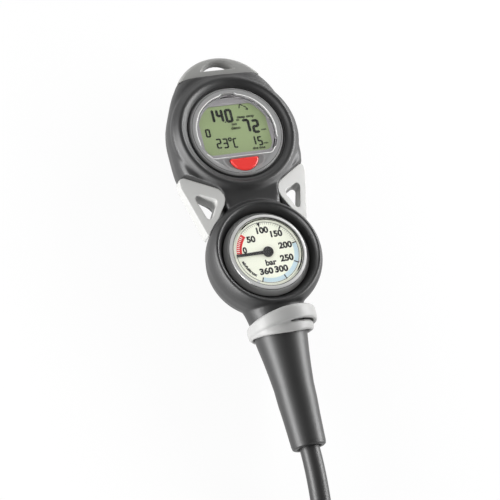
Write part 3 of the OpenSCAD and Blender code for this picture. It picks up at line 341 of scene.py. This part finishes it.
def recess_outline():
    """The edge of the recess round the button: a circle cut flat above, its corners rounded."""
    y = RECESS_HIGH - RECESS_CORNER
    x = math.sqrt((RECESS_RADIUS - RECESS_CORNER) ** 2 - y ** 2)
    turn = math.degrees(math.atan2(y, x))
    corner = arc(x, y, RECESS_CORNER, 90, turn, CORNER_STEPS)
    low = arc(0, 0, RECESS_RADIUS, turn, -180 - turn, RECESS_STEPS)[1:-1]
    points = corner + low + [(-px, py) for px, py in reversed(corner)]
    return [(px, py + RECESS_Y) for px, py in points]


def hose_points():
    """The hose's centreline in metres, from the sleeve's mouth to the fitting."""
    centre = (-COIL_RADIUS, HOSE_ROUTE[-1][1] - COIL_PAST)
    points = list(HOSE_ROUTE)
    for k in range(COIL_TURN * COIL_STEPS // 360 + 1):
        turn = k * 360 / COIL_STEPS
        rise = smooth((turn - CLIMB_FROM) / (CLIMB_TO - CLIMB_FROM))
        fall = smooth((turn - FALL_FROM) / (FALL_TO - FALL_FROM))
        beside, above = around(HOSE_LAYER, 90 - 90 * fall)
        x, y = around(COIL_RADIUS + beside, -turn)
        points.append((centre[0] + x, centre[1] + y,
                       HOSE_LEVEL + rise * above + (FITTING_LEVEL - HOSE_LEVEL) * fall))
    end = points[-1]
    x, y = around(HOSE_DIAMETER, -90 - COIL_TURN)
    points.append((end[0] + x, end[1] + y, end[2]))
    return [Vector(p) * MM for p in points]


# ------------------------------------------------------------------- print

def thicken():
    """Gives the active flat piece the thickness of ink, upwards."""
    bpy.ops.object.mode_set(mode="EDIT")
    bpy.ops.mesh.select_all(action="SELECT")
    bpy.ops.mesh.extrude_region_move(TRANSFORM_OT_translate={"value": (0, 0, INK * MM)})
    bpy.ops.mesh.select_all(action="SELECT")
    bpy.ops.mesh.normals_make_consistent(inside=False)
    bpy.ops.object.mode_set(mode="OBJECT")


def patch(outline, level):
    """A thin patch of ink cut to an outline of points."""
    clear()
    bpy.ops.mesh.primitive_circle_add(vertices=len(outline), radius=MM, fill_type="NGON", location=(0, 0, 0))
    ink = bpy.context.object
    for corner, point in zip(ink.data.vertices, outline):
        corner.co = (point[0] * MM, point[1] * MM, level * MM)
    thicken()
    return ink


def band(inner, outer, first, last, level, steps=24):
    """A thin arc of ink between two radii and two turns."""
    return patch(arc(0, 0, outer, first, last, steps) + arc(0, 0, inner, last, first, steps), level)


def mark(turn, inner, outer, width, level):
    """A thin straight mark of ink along a radius."""
    out, side = Vector(around(1.0, turn)), Vector(around(width / 2, turn + 90))
    return patch([out * inner - side, out * outer - side, out * outer + side, out * inner + side], level)


def marks_between(first, last, parts, shape, level):
    """Marks that divide the turn between two others into equal parts."""
    return [mark(first + (last - first) / parts * k, *shape, level) for k in range(1, parts)]


def lettering(words, centre, width, height, level, weight):
    """Thin letters of ink, drawn to a width and a height."""
    clear()
    bpy.ops.object.text_add(location=(0, 0, 0))
    ink = bpy.context.object
    ink.data.body = words
    ink.data.size = LETTER_SIZE
    ink.data.resolution_u = 6
    ink.data.offset = weight
    bpy.ops.object.convert(target="MESH")
    low = Vector(min(v.co[i] for v in ink.data.vertices) for i in range(3))
    high = Vector(max(v.co[i] for v in ink.data.vertices) for i in range(3))
    size = high - low
    for corner in ink.data.vertices:
        corner.co.x = (centre[0] + ((corner.co.x - low.x) / size.x - 0.5) * width) * MM
        corner.co.y = (centre[1] + ((corner.co.y - low.y) / size.y - 0.5) * height) * MM
        corner.co.z = level * MM
    thicken()
    return ink


def numeral_width(words):
    """Width of a dial number: a 1 is narrow, as in print."""
    return NUMERAL_PITCH * len(words) - NUMERAL_GAP - NARROW_BY * words.count("1")


def arc_lettering(words, radius, first, last, height, level):
    """Small letters along an arc, their feet away from its centre."""
    length = radius * math.radians(last - first)
    ink = lettering(words, (0, 0), length, height, level, ARC_WEIGHT)
    for corner in ink.data.vertices:
        turn = first + (corner.co.x / (length * MM) + 0.5) * (last - first)
        x, y = around(radius - corner.co.y / MM, turn)
        corner.co.x, corner.co.y = x * MM, y * MM
    return ink


def bar(start, end, stroke, level):
    """One bar of a display digit, bluntly pointed at both ends."""
    start, end = Vector(start), Vector(end)
    along = (end - start).normalized()
    side = Vector((-along.y, along.x)) * stroke / 2
    tip = along * stroke * BAR_TIP
    start, end = start - tip * BAR_PAST, end + tip * BAR_PAST
    return patch([start, start + tip - side, end - tip - side,
                  end, end - tip + side, start + tip + side], level)


def digit(shape, x, y, width, height, stroke, level):
    """The bars of one display digit."""
    left, right = x - (width - stroke) / 2, x + (width - stroke) / 2
    low, high = y - (height - stroke) / 2, y + (height - stroke) / 2
    places = {"a": ((left, high), (right, high)), "b": ((right, high), (right, y)),
              "c": ((right, y), (right, low)), "d": ((right, low), (left, low)),
              "e": ((left, low), (left, y)), "f": ((left, y), (left, high)),
              "g": ((left, y), (right, y))}
    return [bar(*places[key], stroke, level) for key in BARS[shape]]


# --------------------------------------------------------- beads and skins

def bead(outline, level, thick):
    """A round bead laid along a closed outline."""
    clear()
    bpy.ops.curve.primitive_bezier_circle_add(radius=MM, location=(0, 0, 0))
    path = bpy.context.object
    spline = path.data.splines[0]
    spline.bezier_points.add(len(outline) - len(spline.bezier_points))
    for knot, (x, y) in zip(spline.bezier_points, outline):
        knot.co = (x * MM, y * MM, level * MM)
        knot.handle_left_type = knot.handle_right_type = "VECTOR"
    path.data.bevel_depth = thick / 2 * MM
    path.data.bevel_resolution = 2
    path.data.resolution_u = 1
    bpy.ops.object.convert(target="MESH")
    return bpy.context.object


def hoop(knots, wide):
    """A rubber hoop of oval section round the neck, bent through four knots."""
    clear()
    bpy.ops.curve.primitive_bezier_circle_add(radius=MM, location=(0, 0, 0))
    section = bpy.context.object
    for knot in section.data.splines[0].bezier_points:
        for end in (knot.co, knot.handle_left, knot.handle_right):
            end.x *= BAND_THICK / 2
            end.y *= wide / 2
    clear()
    bpy.ops.curve.primitive_bezier_circle_add(radius=MM, location=(0, 0, NECK_LEVEL * MM),
                                              rotation=(math.pi / 2, 0, 0))
    path = bpy.context.object
    for knot, (x, z, along, share) in zip(path.data.splines[0].bezier_points, knots):
        knot.co = (x * MM, z * MM, along * MM)
        knot.handle_left_type = knot.handle_right_type = "AUTO"
        knot.radius = share
    path.data.twist_mode = "Z_UP"
    path.data.resolution_u = 16
    path.data.bevel_mode = "OBJECT"
    path.data.bevel_object = section
    bpy.ops.object.convert(target="MESH")
    bent = bpy.context.object
    only(section)
    bpy.ops.object.delete()
    only(bent)
    return bent


def copy_of(node):
    """A copy of a solid, its loose triangles joined up and its hard shading dropped."""
    only(NODES[node])
    bpy.ops.object.duplicate()
    piece = bpy.context.object
    only(piece)
    bpy.ops.object.mode_set(mode="EDIT")
    bpy.ops.mesh.select_all(action="SELECT")
    bpy.ops.mesh.remove_doubles(threshold=WELD)
    bpy.ops.object.mode_set(mode="OBJECT")
    bpy.ops.mesh.customdata_custom_splitnormals_clear()
    return piece


def soften(piece, grid, turns):
    """Gives a moulded piece one even skin, its hard corners rounded."""
    only(piece)
    piece.data.remesh_voxel_size = grid * MM
    bpy.ops.object.voxel_remesh()
    bpy.ops.object.modifier_add(type="SMOOTH")
    piece.modifiers[-1].factor = 0.5
    piece.modifiers[-1].iterations = turns
    bpy.ops.object.modifier_apply(modifier=piece.modifiers[-1].name)
    bpy.ops.object.shade_smooth()


# --------------------------------------------------------------- materials

def fill(node, **inputs):
    """Sets a node's inputs; the spaces in an input's name are written as underscores."""
    for key, value in inputs.items():
        node.inputs[key.replace("_", " ")].default_value = value


def node_of(tree, kind, **inputs):
    """A new node with some of its inputs set."""
    node = tree.nodes.new(kind)
    fill(node, **inputs)
    return node


def math_of(tree, operation, *terms, clamp=False):
    """The result of a Math node whose terms are numbers or the outputs of other nodes."""
    node = tree.nodes.new("ShaderNodeMath")
    node.operation = operation
    node.use_clamp = clamp
    for socket, term in zip(node.inputs, terms):
        if isinstance(term, bpy.types.NodeSocket):
            tree.links.new(term, socket)
        else:
            socket.default_value = term
    return node.outputs[0]


def grain_group():
    """Fine moulded grain: a soft noise for the bump and a slow one for the gloss and tone."""
    if "Moulded Grain" in bpy.data.node_groups:
        return bpy.data.node_groups["Moulded Grain"]
    group = bpy.data.node_groups.new("Moulded Grain", "ShaderNodeTree")
    for key, side, kind in (("Scale", "INPUT", "Float"), ("Gloss", "INPUT", "Float"),
                            ("Gloss Spread", "INPUT", "Float"), ("Colour", "INPUT", "Color"),
                            ("Tone Spread", "INPUT", "Float"), ("Colour", "OUTPUT", "Color"),
                            ("Roughness", "OUTPUT", "Float"), ("Height", "OUTPUT", "Float")):
        group.interface.new_socket(key, in_out=side, socket_type="NodeSocket" + kind)
    nodes, links = group.nodes, group.links
    given, out = nodes.new("NodeGroupInput"), nodes.new("NodeGroupOutput")
    place = nodes.new("ShaderNodeTexCoord")
    fine = node_of(group, "ShaderNodeTexNoise", Detail=3.0, Roughness=0.6)
    links.new(place.outputs["Object"], fine.inputs["Vector"])
    links.new(given.outputs["Scale"], fine.inputs["Scale"])
    links.new(fine.outputs["Fac"], out.inputs["Height"])
    broad = node_of(group, "ShaderNodeTexNoise", Scale=CHANGE_SCALE, Detail=4.0, Roughness=0.55)
    links.new(place.outputs["Object"], broad.inputs["Vector"])
    centred = math_of(group, "SUBTRACT", broad.outputs["Fac"], 0.5)
    rough = math_of(group, "MULTIPLY_ADD", centred, given.outputs["Gloss Spread"], given.outputs["Gloss"])
    links.new(rough, out.inputs["Roughness"])
    tone = math_of(group, "MULTIPLY_ADD", centred, given.outputs["Tone Spread"], 1.0)
    toned = nodes.new("ShaderNodeVectorMath")
    toned.operation = "SCALE"
    links.new(given.outputs["Colour"], toned.inputs[0])
    links.new(tone, toned.inputs["Scale"])
    links.new(toned.outputs[0], out.inputs["Colour"])
    return group


def shader(name):
    """A new material's node tree and its main shader."""
    material = bpy.data.materials.new(name)
    material.use_nodes = True
    return material.node_tree, material.node_tree.nodes["Principled BSDF"]


def raise_by(tree, skin, height, strength, depth):
    """Lets a height stand out of a skin."""
    raised = node_of(tree, "ShaderNodeBump", Strength=strength, Distance=depth)
    tree.links.new(height, raised.inputs["Height"])
    tree.links.new(raised.outputs["Normal"], skin.inputs["Normal"])


def moulded(name, colour, gloss, bump, spread=0.08, tone=0.12, scale=GRAIN_SCALE, **plain):
    """A moulded rubber or plastic: grained, with a slowly changing gloss."""
    tree, skin = shader(name)
    group = tree.nodes.new("ShaderNodeGroup")
    group.node_tree = grain_group()
    fill(group, Scale=scale, Gloss=gloss, Gloss_Spread=spread, Colour=(*colour, 1.0), Tone_Spread=tone)
    tree.links.new(group.outputs["Colour"], skin.inputs["Base Color"])
    tree.links.new(group.outputs["Roughness"], skin.inputs["Roughness"])
    raise_by(tree, skin, group.outputs["Height"], bump, GRAIN_DEPTH)
    fill(skin, **plain)


def turned_metal(name, colour, gloss, axis, metallic=1.0):
    """Metal with the fine marks of turning: noise drawn out across its axis."""
    tree, skin = shader(name)
    place = tree.nodes.new("ShaderNodeTexCoord")
    mapping = node_of(tree, "ShaderNodeMapping",
                      Scale=tuple(1.0 if i == axis else TURNED_LONG for i in range(3)))
    marks = node_of(tree, "ShaderNodeTexNoise", Scale=TURNED_SCALE, Detail=2.0, Roughness=0.5)
    tree.links.new(place.outputs["Object"], mapping.inputs["Vector"])
    tree.links.new(mapping.outputs[0], marks.inputs["Vector"])
    rough = math_of(tree, "MULTIPLY_ADD", marks.outputs["Fac"], TURNED_SPREAD, gloss)
    tree.links.new(rough, skin.inputs["Roughness"])
    raise_by(tree, skin, marks.outputs["Fac"], TURNED_BUMP, TURNED_DEPTH)
    fill(skin, Base_Color=(*colour, 1.0), Metallic=metallic)


def clear_plastic(name):
    """Polished clear plastic."""
    skin = shader(name)[1]
    fill(skin, Base_Color=(1.0, 1.0, 1.0, 1.0), Roughness=0.02, IOR=CLEAR_IOR, Transmission_Weight=1.0)


def dress(piece, material):
    """Gives a solid a finish in the place of its plain one."""
    if not piece.material_slots:
        piece.data.materials.append(material)
    for slot in piece.material_slots:
        slot.material = material


# ------------------------------------------------------------------- stage

def add_floor(given):
    """A matt floor that looks evenly pale, because most of what is seen of it is its own glow."""
    clear()
    bpy.ops.mesh.primitive_plane_add(size=FLOOR_SIZE, location=(0, 0, FLOOR_LEVEL))
    floor = bpy.context.object
    floor.name = "floor"
    settle()
    tree, skin = shader("floor")
    fill(skin, Base_Color=(*given.floor, 1.0), Roughness=0.9)
    glow = node_of(tree, "ShaderNodeEmission", Color=(1, 1, 1, 1), Strength=1.0)
    path = tree.nodes.new("ShaderNodeLightPath").outputs
    seen = math_of(tree, "ADD", path["Is Camera Ray"], path["Is Glossy Ray"])
    through = math_of(tree, "ADD", seen, path["Is Transmission Ray"])
    share = math_of(tree, "MULTIPLY", through, FLOOR_GLOW, clamp=True)
    mix = tree.nodes.new("ShaderNodeMixShader")
    tree.links.new(share, mix.inputs["Fac"])
    tree.links.new(skin.outputs["BSDF"], mix.inputs[1])
    tree.links.new(glow.outputs[0], mix.inputs[2])
    tree.links.new(mix.outputs[0], tree.nodes["Material Output"].inputs["Surface"])
    floor.data.materials.append(bpy.data.materials["floor"])


def add_sky(given):
    """A sky that is white to look at and lights most from the sides and least from the hose's end."""
    scene = bpy.context.scene
    scene.world = scene.world or bpy.data.worlds.new("sky")
    scene.world.use_nodes = True
    tree = scene.world.node_tree
    sky = tree.nodes["Background"]
    fill(sky, Color=(1, 1, 1, 1))
    path = tree.nodes.new("ShaderNodeLightPath").outputs
    seen = math_of(tree, "ADD", path["Is Camera Ray"], path["Is Transmission Ray"], clamp=True)
    ways = tree.nodes.new("ShaderNodeTexCoord")
    apart = tree.nodes.new("ShaderNodeSeparateXYZ")
    tree.links.new(ways.outputs["Generated"], apart.inputs[0])
    sides = node_of(tree, "ShaderNodeMapRange", From_Min=SIDE_FROM, From_Max=SIDE_TO,
                    To_Min=given.sky, To_Max=given.sky * SIDE_TIMES)
    tree.links.new(math_of(tree, "ABSOLUTE", apart.outputs["X"]), sides.inputs["Value"])
    near = node_of(tree, "ShaderNodeMapRange", From_Min=DARK_TO, From_Max=DARK_FROM,
                   To_Min=DARK_SHARE, To_Max=1.0)
    tree.links.new(apart.outputs["Y"], near.inputs["Value"])
    shaded = math_of(tree, "MULTIPLY", sides.outputs["Result"], near.outputs["Result"])
    strength = node_of(tree, "ShaderNodeMapRange", To_Max=1.0)
    tree.links.new(seen, strength.inputs["Value"])
    tree.links.new(shaded, strength.inputs["To Min"])
    tree.links.new(strength.outputs["Result"], sky.inputs["Strength"])


def add_lamps(given):
    """Large lamps that all face the console."""
    for name, place, setting, share in LAMPS:
        bpy.ops.object.light_add(type="AREA", location=place)
        lamp = bpy.context.object
        lamp.name = name
        lamp.data.shape = "RECTANGLE"
        lamp.data.size = LAMP_LONG
        lamp.data.size_y = LAMP_HIGH
        lamp.data.energy = getattr(given, setting) * share
        aim = Vector(LAMP_AIM) - Vector(place)
        lamp.rotation_euler = aim.to_track_quat("-Z", "Y").to_euler()


# ------------------------------------------------------------------ pieces

class CONSOLE_OT_camera(bpy.types.Operator):
    """Stand the camera over the console, to its left"""
    bl_idname = "console.camera"
    bl_label = "Camera"

    def execute(self, context):
        bpy.ops.object.camera_add(location=CAMERA_PLACE, rotation=CAMERA_TURN)
        camera = context.object
        camera.name = "camera"
        camera.data.lens = CAMERA_LENS
        camera.data.sensor_width = CAMERA_SENSOR
        camera.data.clip_start = CAMERA_NEAR
        camera.data.clip_end = CAMERA_FAR
        context.scene.camera = camera
        return {"FINISHED"}


class CONSOLE_OT_finishes(bpy.types.Operator):
    """Make the console's rubbers, plastics, metals and paints, and put them on its solids"""
    bl_idname = "console.finishes"
    bl_label = "Finishes"

    def execute(self, context):
        given = context.scene.console_finishes
        grain = given.grain
        moulded("boot rubber", given.boot, 0.46, scale=2200.0, bump=grain, Specular_IOR_Level=0.8)
        moulded("insert rubber", given.insert, 0.42, scale=1800.0, bump=grain * 0.6, tone=0.06)
        # The eyelets' rubber made darker for the hanging loop: painted shade
        moulded("shaded insert rubber", given.loop, 0.42, scale=1800.0, bump=grain * 0.6, tone=0.06)
        moulded("ring rubber", given.ring, 0.42, scale=1800.0, bump=grain * 0.6, tone=0.06)
        moulded("hose rubber", given.hose, 0.44, scale=1600.0, bump=grain, tone=0.15, Specular_IOR_Level=0.8)
        moulded("seal rubber", (0.02, 0.02, 0.02), 0.4, bump=grain)
        moulded("door seal rubber", (0.55, 0.16, 0.05), 0.4, bump=grain)
        moulded("case plastic", (0.03, 0.03, 0.032), 0.4, bump=grain)
        moulded("bezel plastic", given.bezel, 0.33, spread=0.04, tone=0.04, scale=2600.0, bump=grain * 0.5)
        # Near white: the window's bead is a real edge whose colour is a painted highlight, on top of the
        # gloss that catches the lamps
        moulded("highlight bead plastic", (0.85, 0.85, 0.84), 0.15, spread=0.03, tone=0.03, bump=0.02)
        # Near black: painted shade, laid as thin rings where the bezels' groove, inner edge and step look
        # dark
        moulded("painted shade plastic", (0.05, 0.05, 0.05), 0.7, bump=0.02)
        moulded("mask plastic", (0.3, 0.29, 0.3), 0.45, tone=0.03, bump=0.02)
        moulded("display glass", given.display, 0.5, tone=0.03, bump=0.01)
        moulded("display ink", (0.003, 0.004, 0.003), 0.7, bump=0.01)
        moulded("button plastic", given.button, 0.16, spread=0.02, tone=0.03, bump=0.01, Coat_Weight=0.5)
        moulded("plug plastic", (0.6, 0.05, 0.04), 0.3, bump=0.02)
        moulded("board lacquer", (0.03, 0.16, 0.07), 0.25, bump=0.02)
        moulded("guide plastic", (0.8, 0.8, 0.76), 0.3, bump=0.02)
        moulded("dial paint", given.dial, 0.6, spread=0.02, tone=0.02, bump=0.02)
        moulded("dial black", (0.015, 0.015, 0.015), 0.55, bump=0.02)
        moulded("dial grey", (0.25, 0.25, 0.22), 0.55, bump=0.02)
        moulded("dial red", (0.62, 0.012, 0.014), 0.5, bump=0.02)
        moulded("dial blue", (0.52, 0.66, 0.72), 0.55, bump=0.02, tone=0.02)
        moulded("dial white", (0.85, 0.85, 0.82), 0.55, bump=0.02)
        turned_metal("chrome", (0.95, 0.95, 0.94), 0.2, axis=2, metallic=0.55)
        turned_metal("nut chrome", (0.8, 0.8, 0.82), 0.12, axis=1)
        turned_metal("steel", (0.6, 0.6, 0.61), 0.25, axis=2)
        turned_metal("brass", (0.72, 0.53, 0.25), 0.24, axis=2)
        clear_plastic("lens plastic")
        clear_plastic("window plastic")
        for material, *nodes in DRESSING:
            for node in nodes:
                dress(NODES[node], bpy.data.materials[material])
        return {"FINISHED"}


class CONSOLE_OT_hose(bpy.types.Operator):
    """Lay the hose from the sleeve to the floor and wind its end into a ring"""
    bl_idname = "console.hose"
    bl_label = "Hose"

    def execute(self, context):
        points = hose_points()
        clear()
        bpy.ops.curve.primitive_bezier_curve_add(location=(0, 0, 0))
        hose = context.object
        spline = hose.data.splines[0]
        spline.bezier_points.add(len(points) - 2)
        for knot, place in zip(spline.bezier_points, points):
            knot.co = place
            knot.handle_left_type = "AUTO"
            knot.handle_right_type = "AUTO"
        hose.data.bevel_depth = context.scene.console_hose.diameter / 2
        hose.data.bevel_resolution = 7
        hose.data.resolution_u = 6
        hose.data.use_fill_caps = True
        hose.name = "hose_run"
        hose.data.materials.append(bpy.data.materials["hose rubber"])
        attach(hose, "hose")
        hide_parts("hose_stretch", "hose_coil")
        return {"FINISHED"}


class CONSOLE_OT_boot(bpy.types.Operator):
    """Mould the boot, the loop and the eyelets: their solids with the corners rounded"""
    bl_idname = "console.boot"
    bl_label = "Boot"

    def execute(self, context):
        for node, name, grid, turns, material, slot in (
                ("boot", "boot_moulding", 0.8, 12, "boot rubber", "boot_rubber"),
                ("top_loop", "loop_moulding", 0.4, 6, "shaded insert rubber", "insert_rubber"),
                ("eyelet_left", "eyelet_left_moulding", 0.4, 8, "insert rubber", "insert_rubber"),
                ("eyelet_right", "eyelet_right_moulding", 0.4, 8, "insert rubber", "insert_rubber")):
            piece = copy_of(node)
            if node == "top_loop":
                clear()
                bpy.ops.mesh.primitive_cube_add(size=MM, location=tuple(c * MM for c in SILL_PLACE))
                bpy.ops.transform.resize(value=SILL_SIZE)
                piece = join([piece, context.object])
            soften(piece, grid, turns)
            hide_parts(node)
            finish(piece, name, material, "console")
        return {"FINISHED"}


class CONSOLE_OT_button(bpy.types.Operator):
    """Round the button's edges, its foot clear of the spring when it is pressed"""
    bl_idname = "console.button"
    bl_label = "Button"

    def execute(self, context):
        cap = copy_of("button_cap")
        soften(cap, BUTTON_GRID, BUTTON_TURNS)
        foot = min(corner.co.z for corner in cap.data.vertices) + BUTTON_FOOT * MM
        for corner in cap.data.vertices:
            corner.co.z = max(corner.co.z, foot)
        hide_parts("button_cap")
        finish(cap, "button_moulding", "button plastic", "button")
        return {"FINISHED"}


class CONSOLE_OT_ring(bpy.types.Operator):
    """Bend the neck ring: a low band and a strap that stands off to its right"""
    bl_idname = "console.ring"
    bl_label = "Neck ring"

    def execute(self, context):
        ring = join([hoop(LOW_BAND, LOW_BAND_WIDE), hoop(STRAP, STRAP_WIDE)])
        soften(ring, RING_GRID, RING_TURNS)
        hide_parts("neck_ring")
        finish(ring, "ring_moulding", "ring rubber", "console")
        return {"FINISHED"}


class CONSOLE_OT_window(bpy.types.Operator):
    """Edge the display window with a near-white bead, a painted highlight, and the button's recess, and lay
    fine rings round both faces, the dark ones painted shade
    """
    bl_idname = "console.window"
    bl_label = "Window edge"

    def execute(self, context):
        # The window's bead is near white, a painted highlight along its edge; the recess edge and the mask
        # edge take their faces' own colours
        for name, outline, level, thick, look, slot in (
                ("window_highlight_bead", window_outline(BEAD_GROW), BEZEL_LEVEL - 0.45, 0.6, "highlight bead plastic",
                 "bezel_plastic"),
                ("recess_edge", recess_outline(), BEZEL_LEVEL - 0.1, 0.4, "bezel plastic", "bezel_plastic"),
                ("mask_edge", window_outline(MASK_GROW), MASK_LEVEL - 0.3, 0.95, "mask plastic",
                 "mask_plastic")):
            finish(bead(outline, level, thick), name, look, "console")
        # Fine rings: the dark ones are painted shade in the computer bezel's groove and at the gauge chrome's
        # inner edge and step; the lip is black rubber
        for name, y, radius, level, thick, look, slot in (
                ("bezel_groove_shade", COMPUTER_Y, 29.8, BEZEL_LEVEL - 0.15, 0.3, "painted shade plastic", "mask_plastic"),
                ("bezel_lip", COMPUTER_Y, 32.0, BEZEL_LEVEL - 1.2, 1.1, "seal rubber", "boot_rubber"),
                ("gauge_inner_shade_line", 0.0, 23.0, GAUGE_LEVEL - 0.15, 0.4, "painted shade plastic", "mask_plastic"),
                ("gauge_outer_shade_line", 0.0, 25.5, GAUGE_LEVEL - 0.95, 0.45, "painted shade plastic", "mask_plastic")):
            bpy.ops.mesh.primitive_torus_add(major_radius=radius * MM, minor_radius=thick / 2 * MM,
                                             major_segments=96, minor_segments=10,
                                             location=(0, y * MM, level * MM))
            bpy.ops.object.shade_smooth()
            finish(context.object, name, look, "console")
        return {"FINISHED"}


class CONSOLE_OT_dial(bpy.types.Operator):
    """Print the pressure dial: numbers, marks and the red and blue bands"""
    bl_idname = "console.dial"
    bl_label = "Dial print"

    def execute(self, context):
        level = DIAL_LEVEL
        black = [lettering(words, (x, y), numeral_width(words), NUMERAL_HIGH, level, NUMBER_WEIGHT)
                 for words, x, y in NUMERALS]
        black.append(lettering("bar", *UNIT, level, WORD_WEIGHT))
        black += [mark(turn, *LONG_MARK, level) for turn in LONG_MARKS]
        black.append(mark(ZERO_TURN, *ZERO_MARK, level))
        part = (FIFTY_TURN - ZERO_TURN + 360) / RIM_PARTS
        black += [band(*RIM_LINE, FIFTY_TURN - part * k, FIFTY_TURN - part * (k + 1), level, steps=12)
                  for k in range(RIM_PARTS)]
        black.append(arc_lettering("air/nitrox", *GAS, level))
        black.append(patch([around(ARROW_TIP, HUNDRED_TURN), around(ARROW_FOOT, HUNDRED_TURN - ARROW_HALF),
                            around(ARROW_FOOT, HUNDRED_TURN + ARROW_HALF)], level))
        fine = marks_between(HUNDRED_TURN, TWO_HUNDRED_TURN, HIGH_PARTS, FINE_MARK, level)
        fine += marks_between(HUNDRED_TURN, FIFTY_TURN, LOW_PARTS, FINE_MARK, level)
        red = band(*RED_BAND, FIFTY_TURN, ZERO_TURN - RED_SHORT, level)
        white = marks_between(FIFTY_TURN + WHITE_SHORT, ZERO_TURN - WHITE_SHORT, WHITE_PARTS, WHITE_MARK,
                              level + WHITE_RISE)
        blue = band(*BLUE_BAND, TWO_HUNDRED_TURN - BLUE_SHORT, FULL_TURN + BLUE_SHORT, level - BLUE_SINK,
                    steps=BLUE_STEPS)
        finish(join(black), "dial_black", "dial black", "console")
        finish(join(fine), "dial_fine_marks", "dial grey", "console")
        finish(red, "dial_red", "dial red", "console")
        finish(join(white), "dial_white", "dial white", "console")
        finish(blue, "dial_blue", "dial blue", "console")
        return {"FINISHED"}


class CONSOLE_OT_display(bpy.types.Operator):
    """Fill the display: depth, times, temperature and the dive's profile"""
    bl_idname = "console.display"
    bl_label = "Display digits"

    def execute(self, context):
        level = DISPLAY_LEVEL
        ink = []
        for shown in DIGITS:
            ink += digit(*shown, level)
        ink.append(patch(DECIMAL_POINT, level))
        ink += [lettering(*word, level, WORD_WEIGHT) for word in WORDS]
        ink += [bar(start, end, PROFILE_STROKE, level) for start, end in PROFILE]
        ink.append(patch(PROFILE_ARROW, level))
        finish(join(ink), "display_digits", "display ink", "console")
        return {"FINISHED"}


class CONSOLE_OT_stage(bpy.types.Operator):
    """Add the pale floor, the soft sky, two large side lamps and a lamp at the back"""
    bl_idname = "console.stage"
    bl_label = "Stage"

    def execute(self, context):
        given = context.scene.console_stage
        add_floor(given)
        add_sky(given)
        add_lamps(given)
        return {"FINISHED"}


# ------------------------------------------------------------------- panel

class CONSOLE_PT_panel(bpy.types.Panel):
    """Sizes and colours of the console, and a button for each group of pieces"""
    bl_idname = "CONSOLE_PT_panel"
    bl_label = "Diving Console"
    bl_space_type = "VIEW_3D"
    bl_region_type = "UI"
    bl_category = "Console"

    def draw(self, context):
        scene = context.scene
        for group in (scene.console_finishes, scene.console_hose, scene.console_stage):
            for key in group.__annotations__:
                self.layout.prop(group, key)
        for each in OPERATORS:
            self.layout.operator(each.bl_idname)


GROUPS = (ConsoleFinishes, ConsoleHose, ConsoleStage)
OPERATORS = (CONSOLE_OT_camera, CONSOLE_OT_finishes, CONSOLE_OT_hose, CONSOLE_OT_boot, CONSOLE_OT_button,
             CONSOLE_OT_ring, CONSOLE_OT_window, CONSOLE_OT_dial, CONSOLE_OT_display, CONSOLE_OT_stage)


def register():
    for each in (*GROUPS, *OPERATORS, CONSOLE_PT_panel):
        bpy.utils.register_class(each)
    bpy.types.Scene.console_finishes = bpy.props.PointerProperty(type=ConsoleFinishes)
    bpy.types.Scene.console_hose = bpy.props.PointerProperty(type=ConsoleHose)
    bpy.types.Scene.console_stage = bpy.props.PointerProperty(type=ConsoleStage)


def unregister():
    for key in ("console_finishes", "console_hose", "console_stage"):
        delattr(bpy.types.Scene, key)
    for each in reversed((*GROUPS, *OPERATORS, CONSOLE_PT_panel)):
        bpy.utils.unregister_class(each)


def main():
    register()
    bpy.context.scene.view_settings.view_transform = "Standard"
    for each in OPERATORS:
        family, action = each.bl_idname.split(".")
        getattr(getattr(bpy.ops, family), action)()


if __name__ == "__main__":
    main()
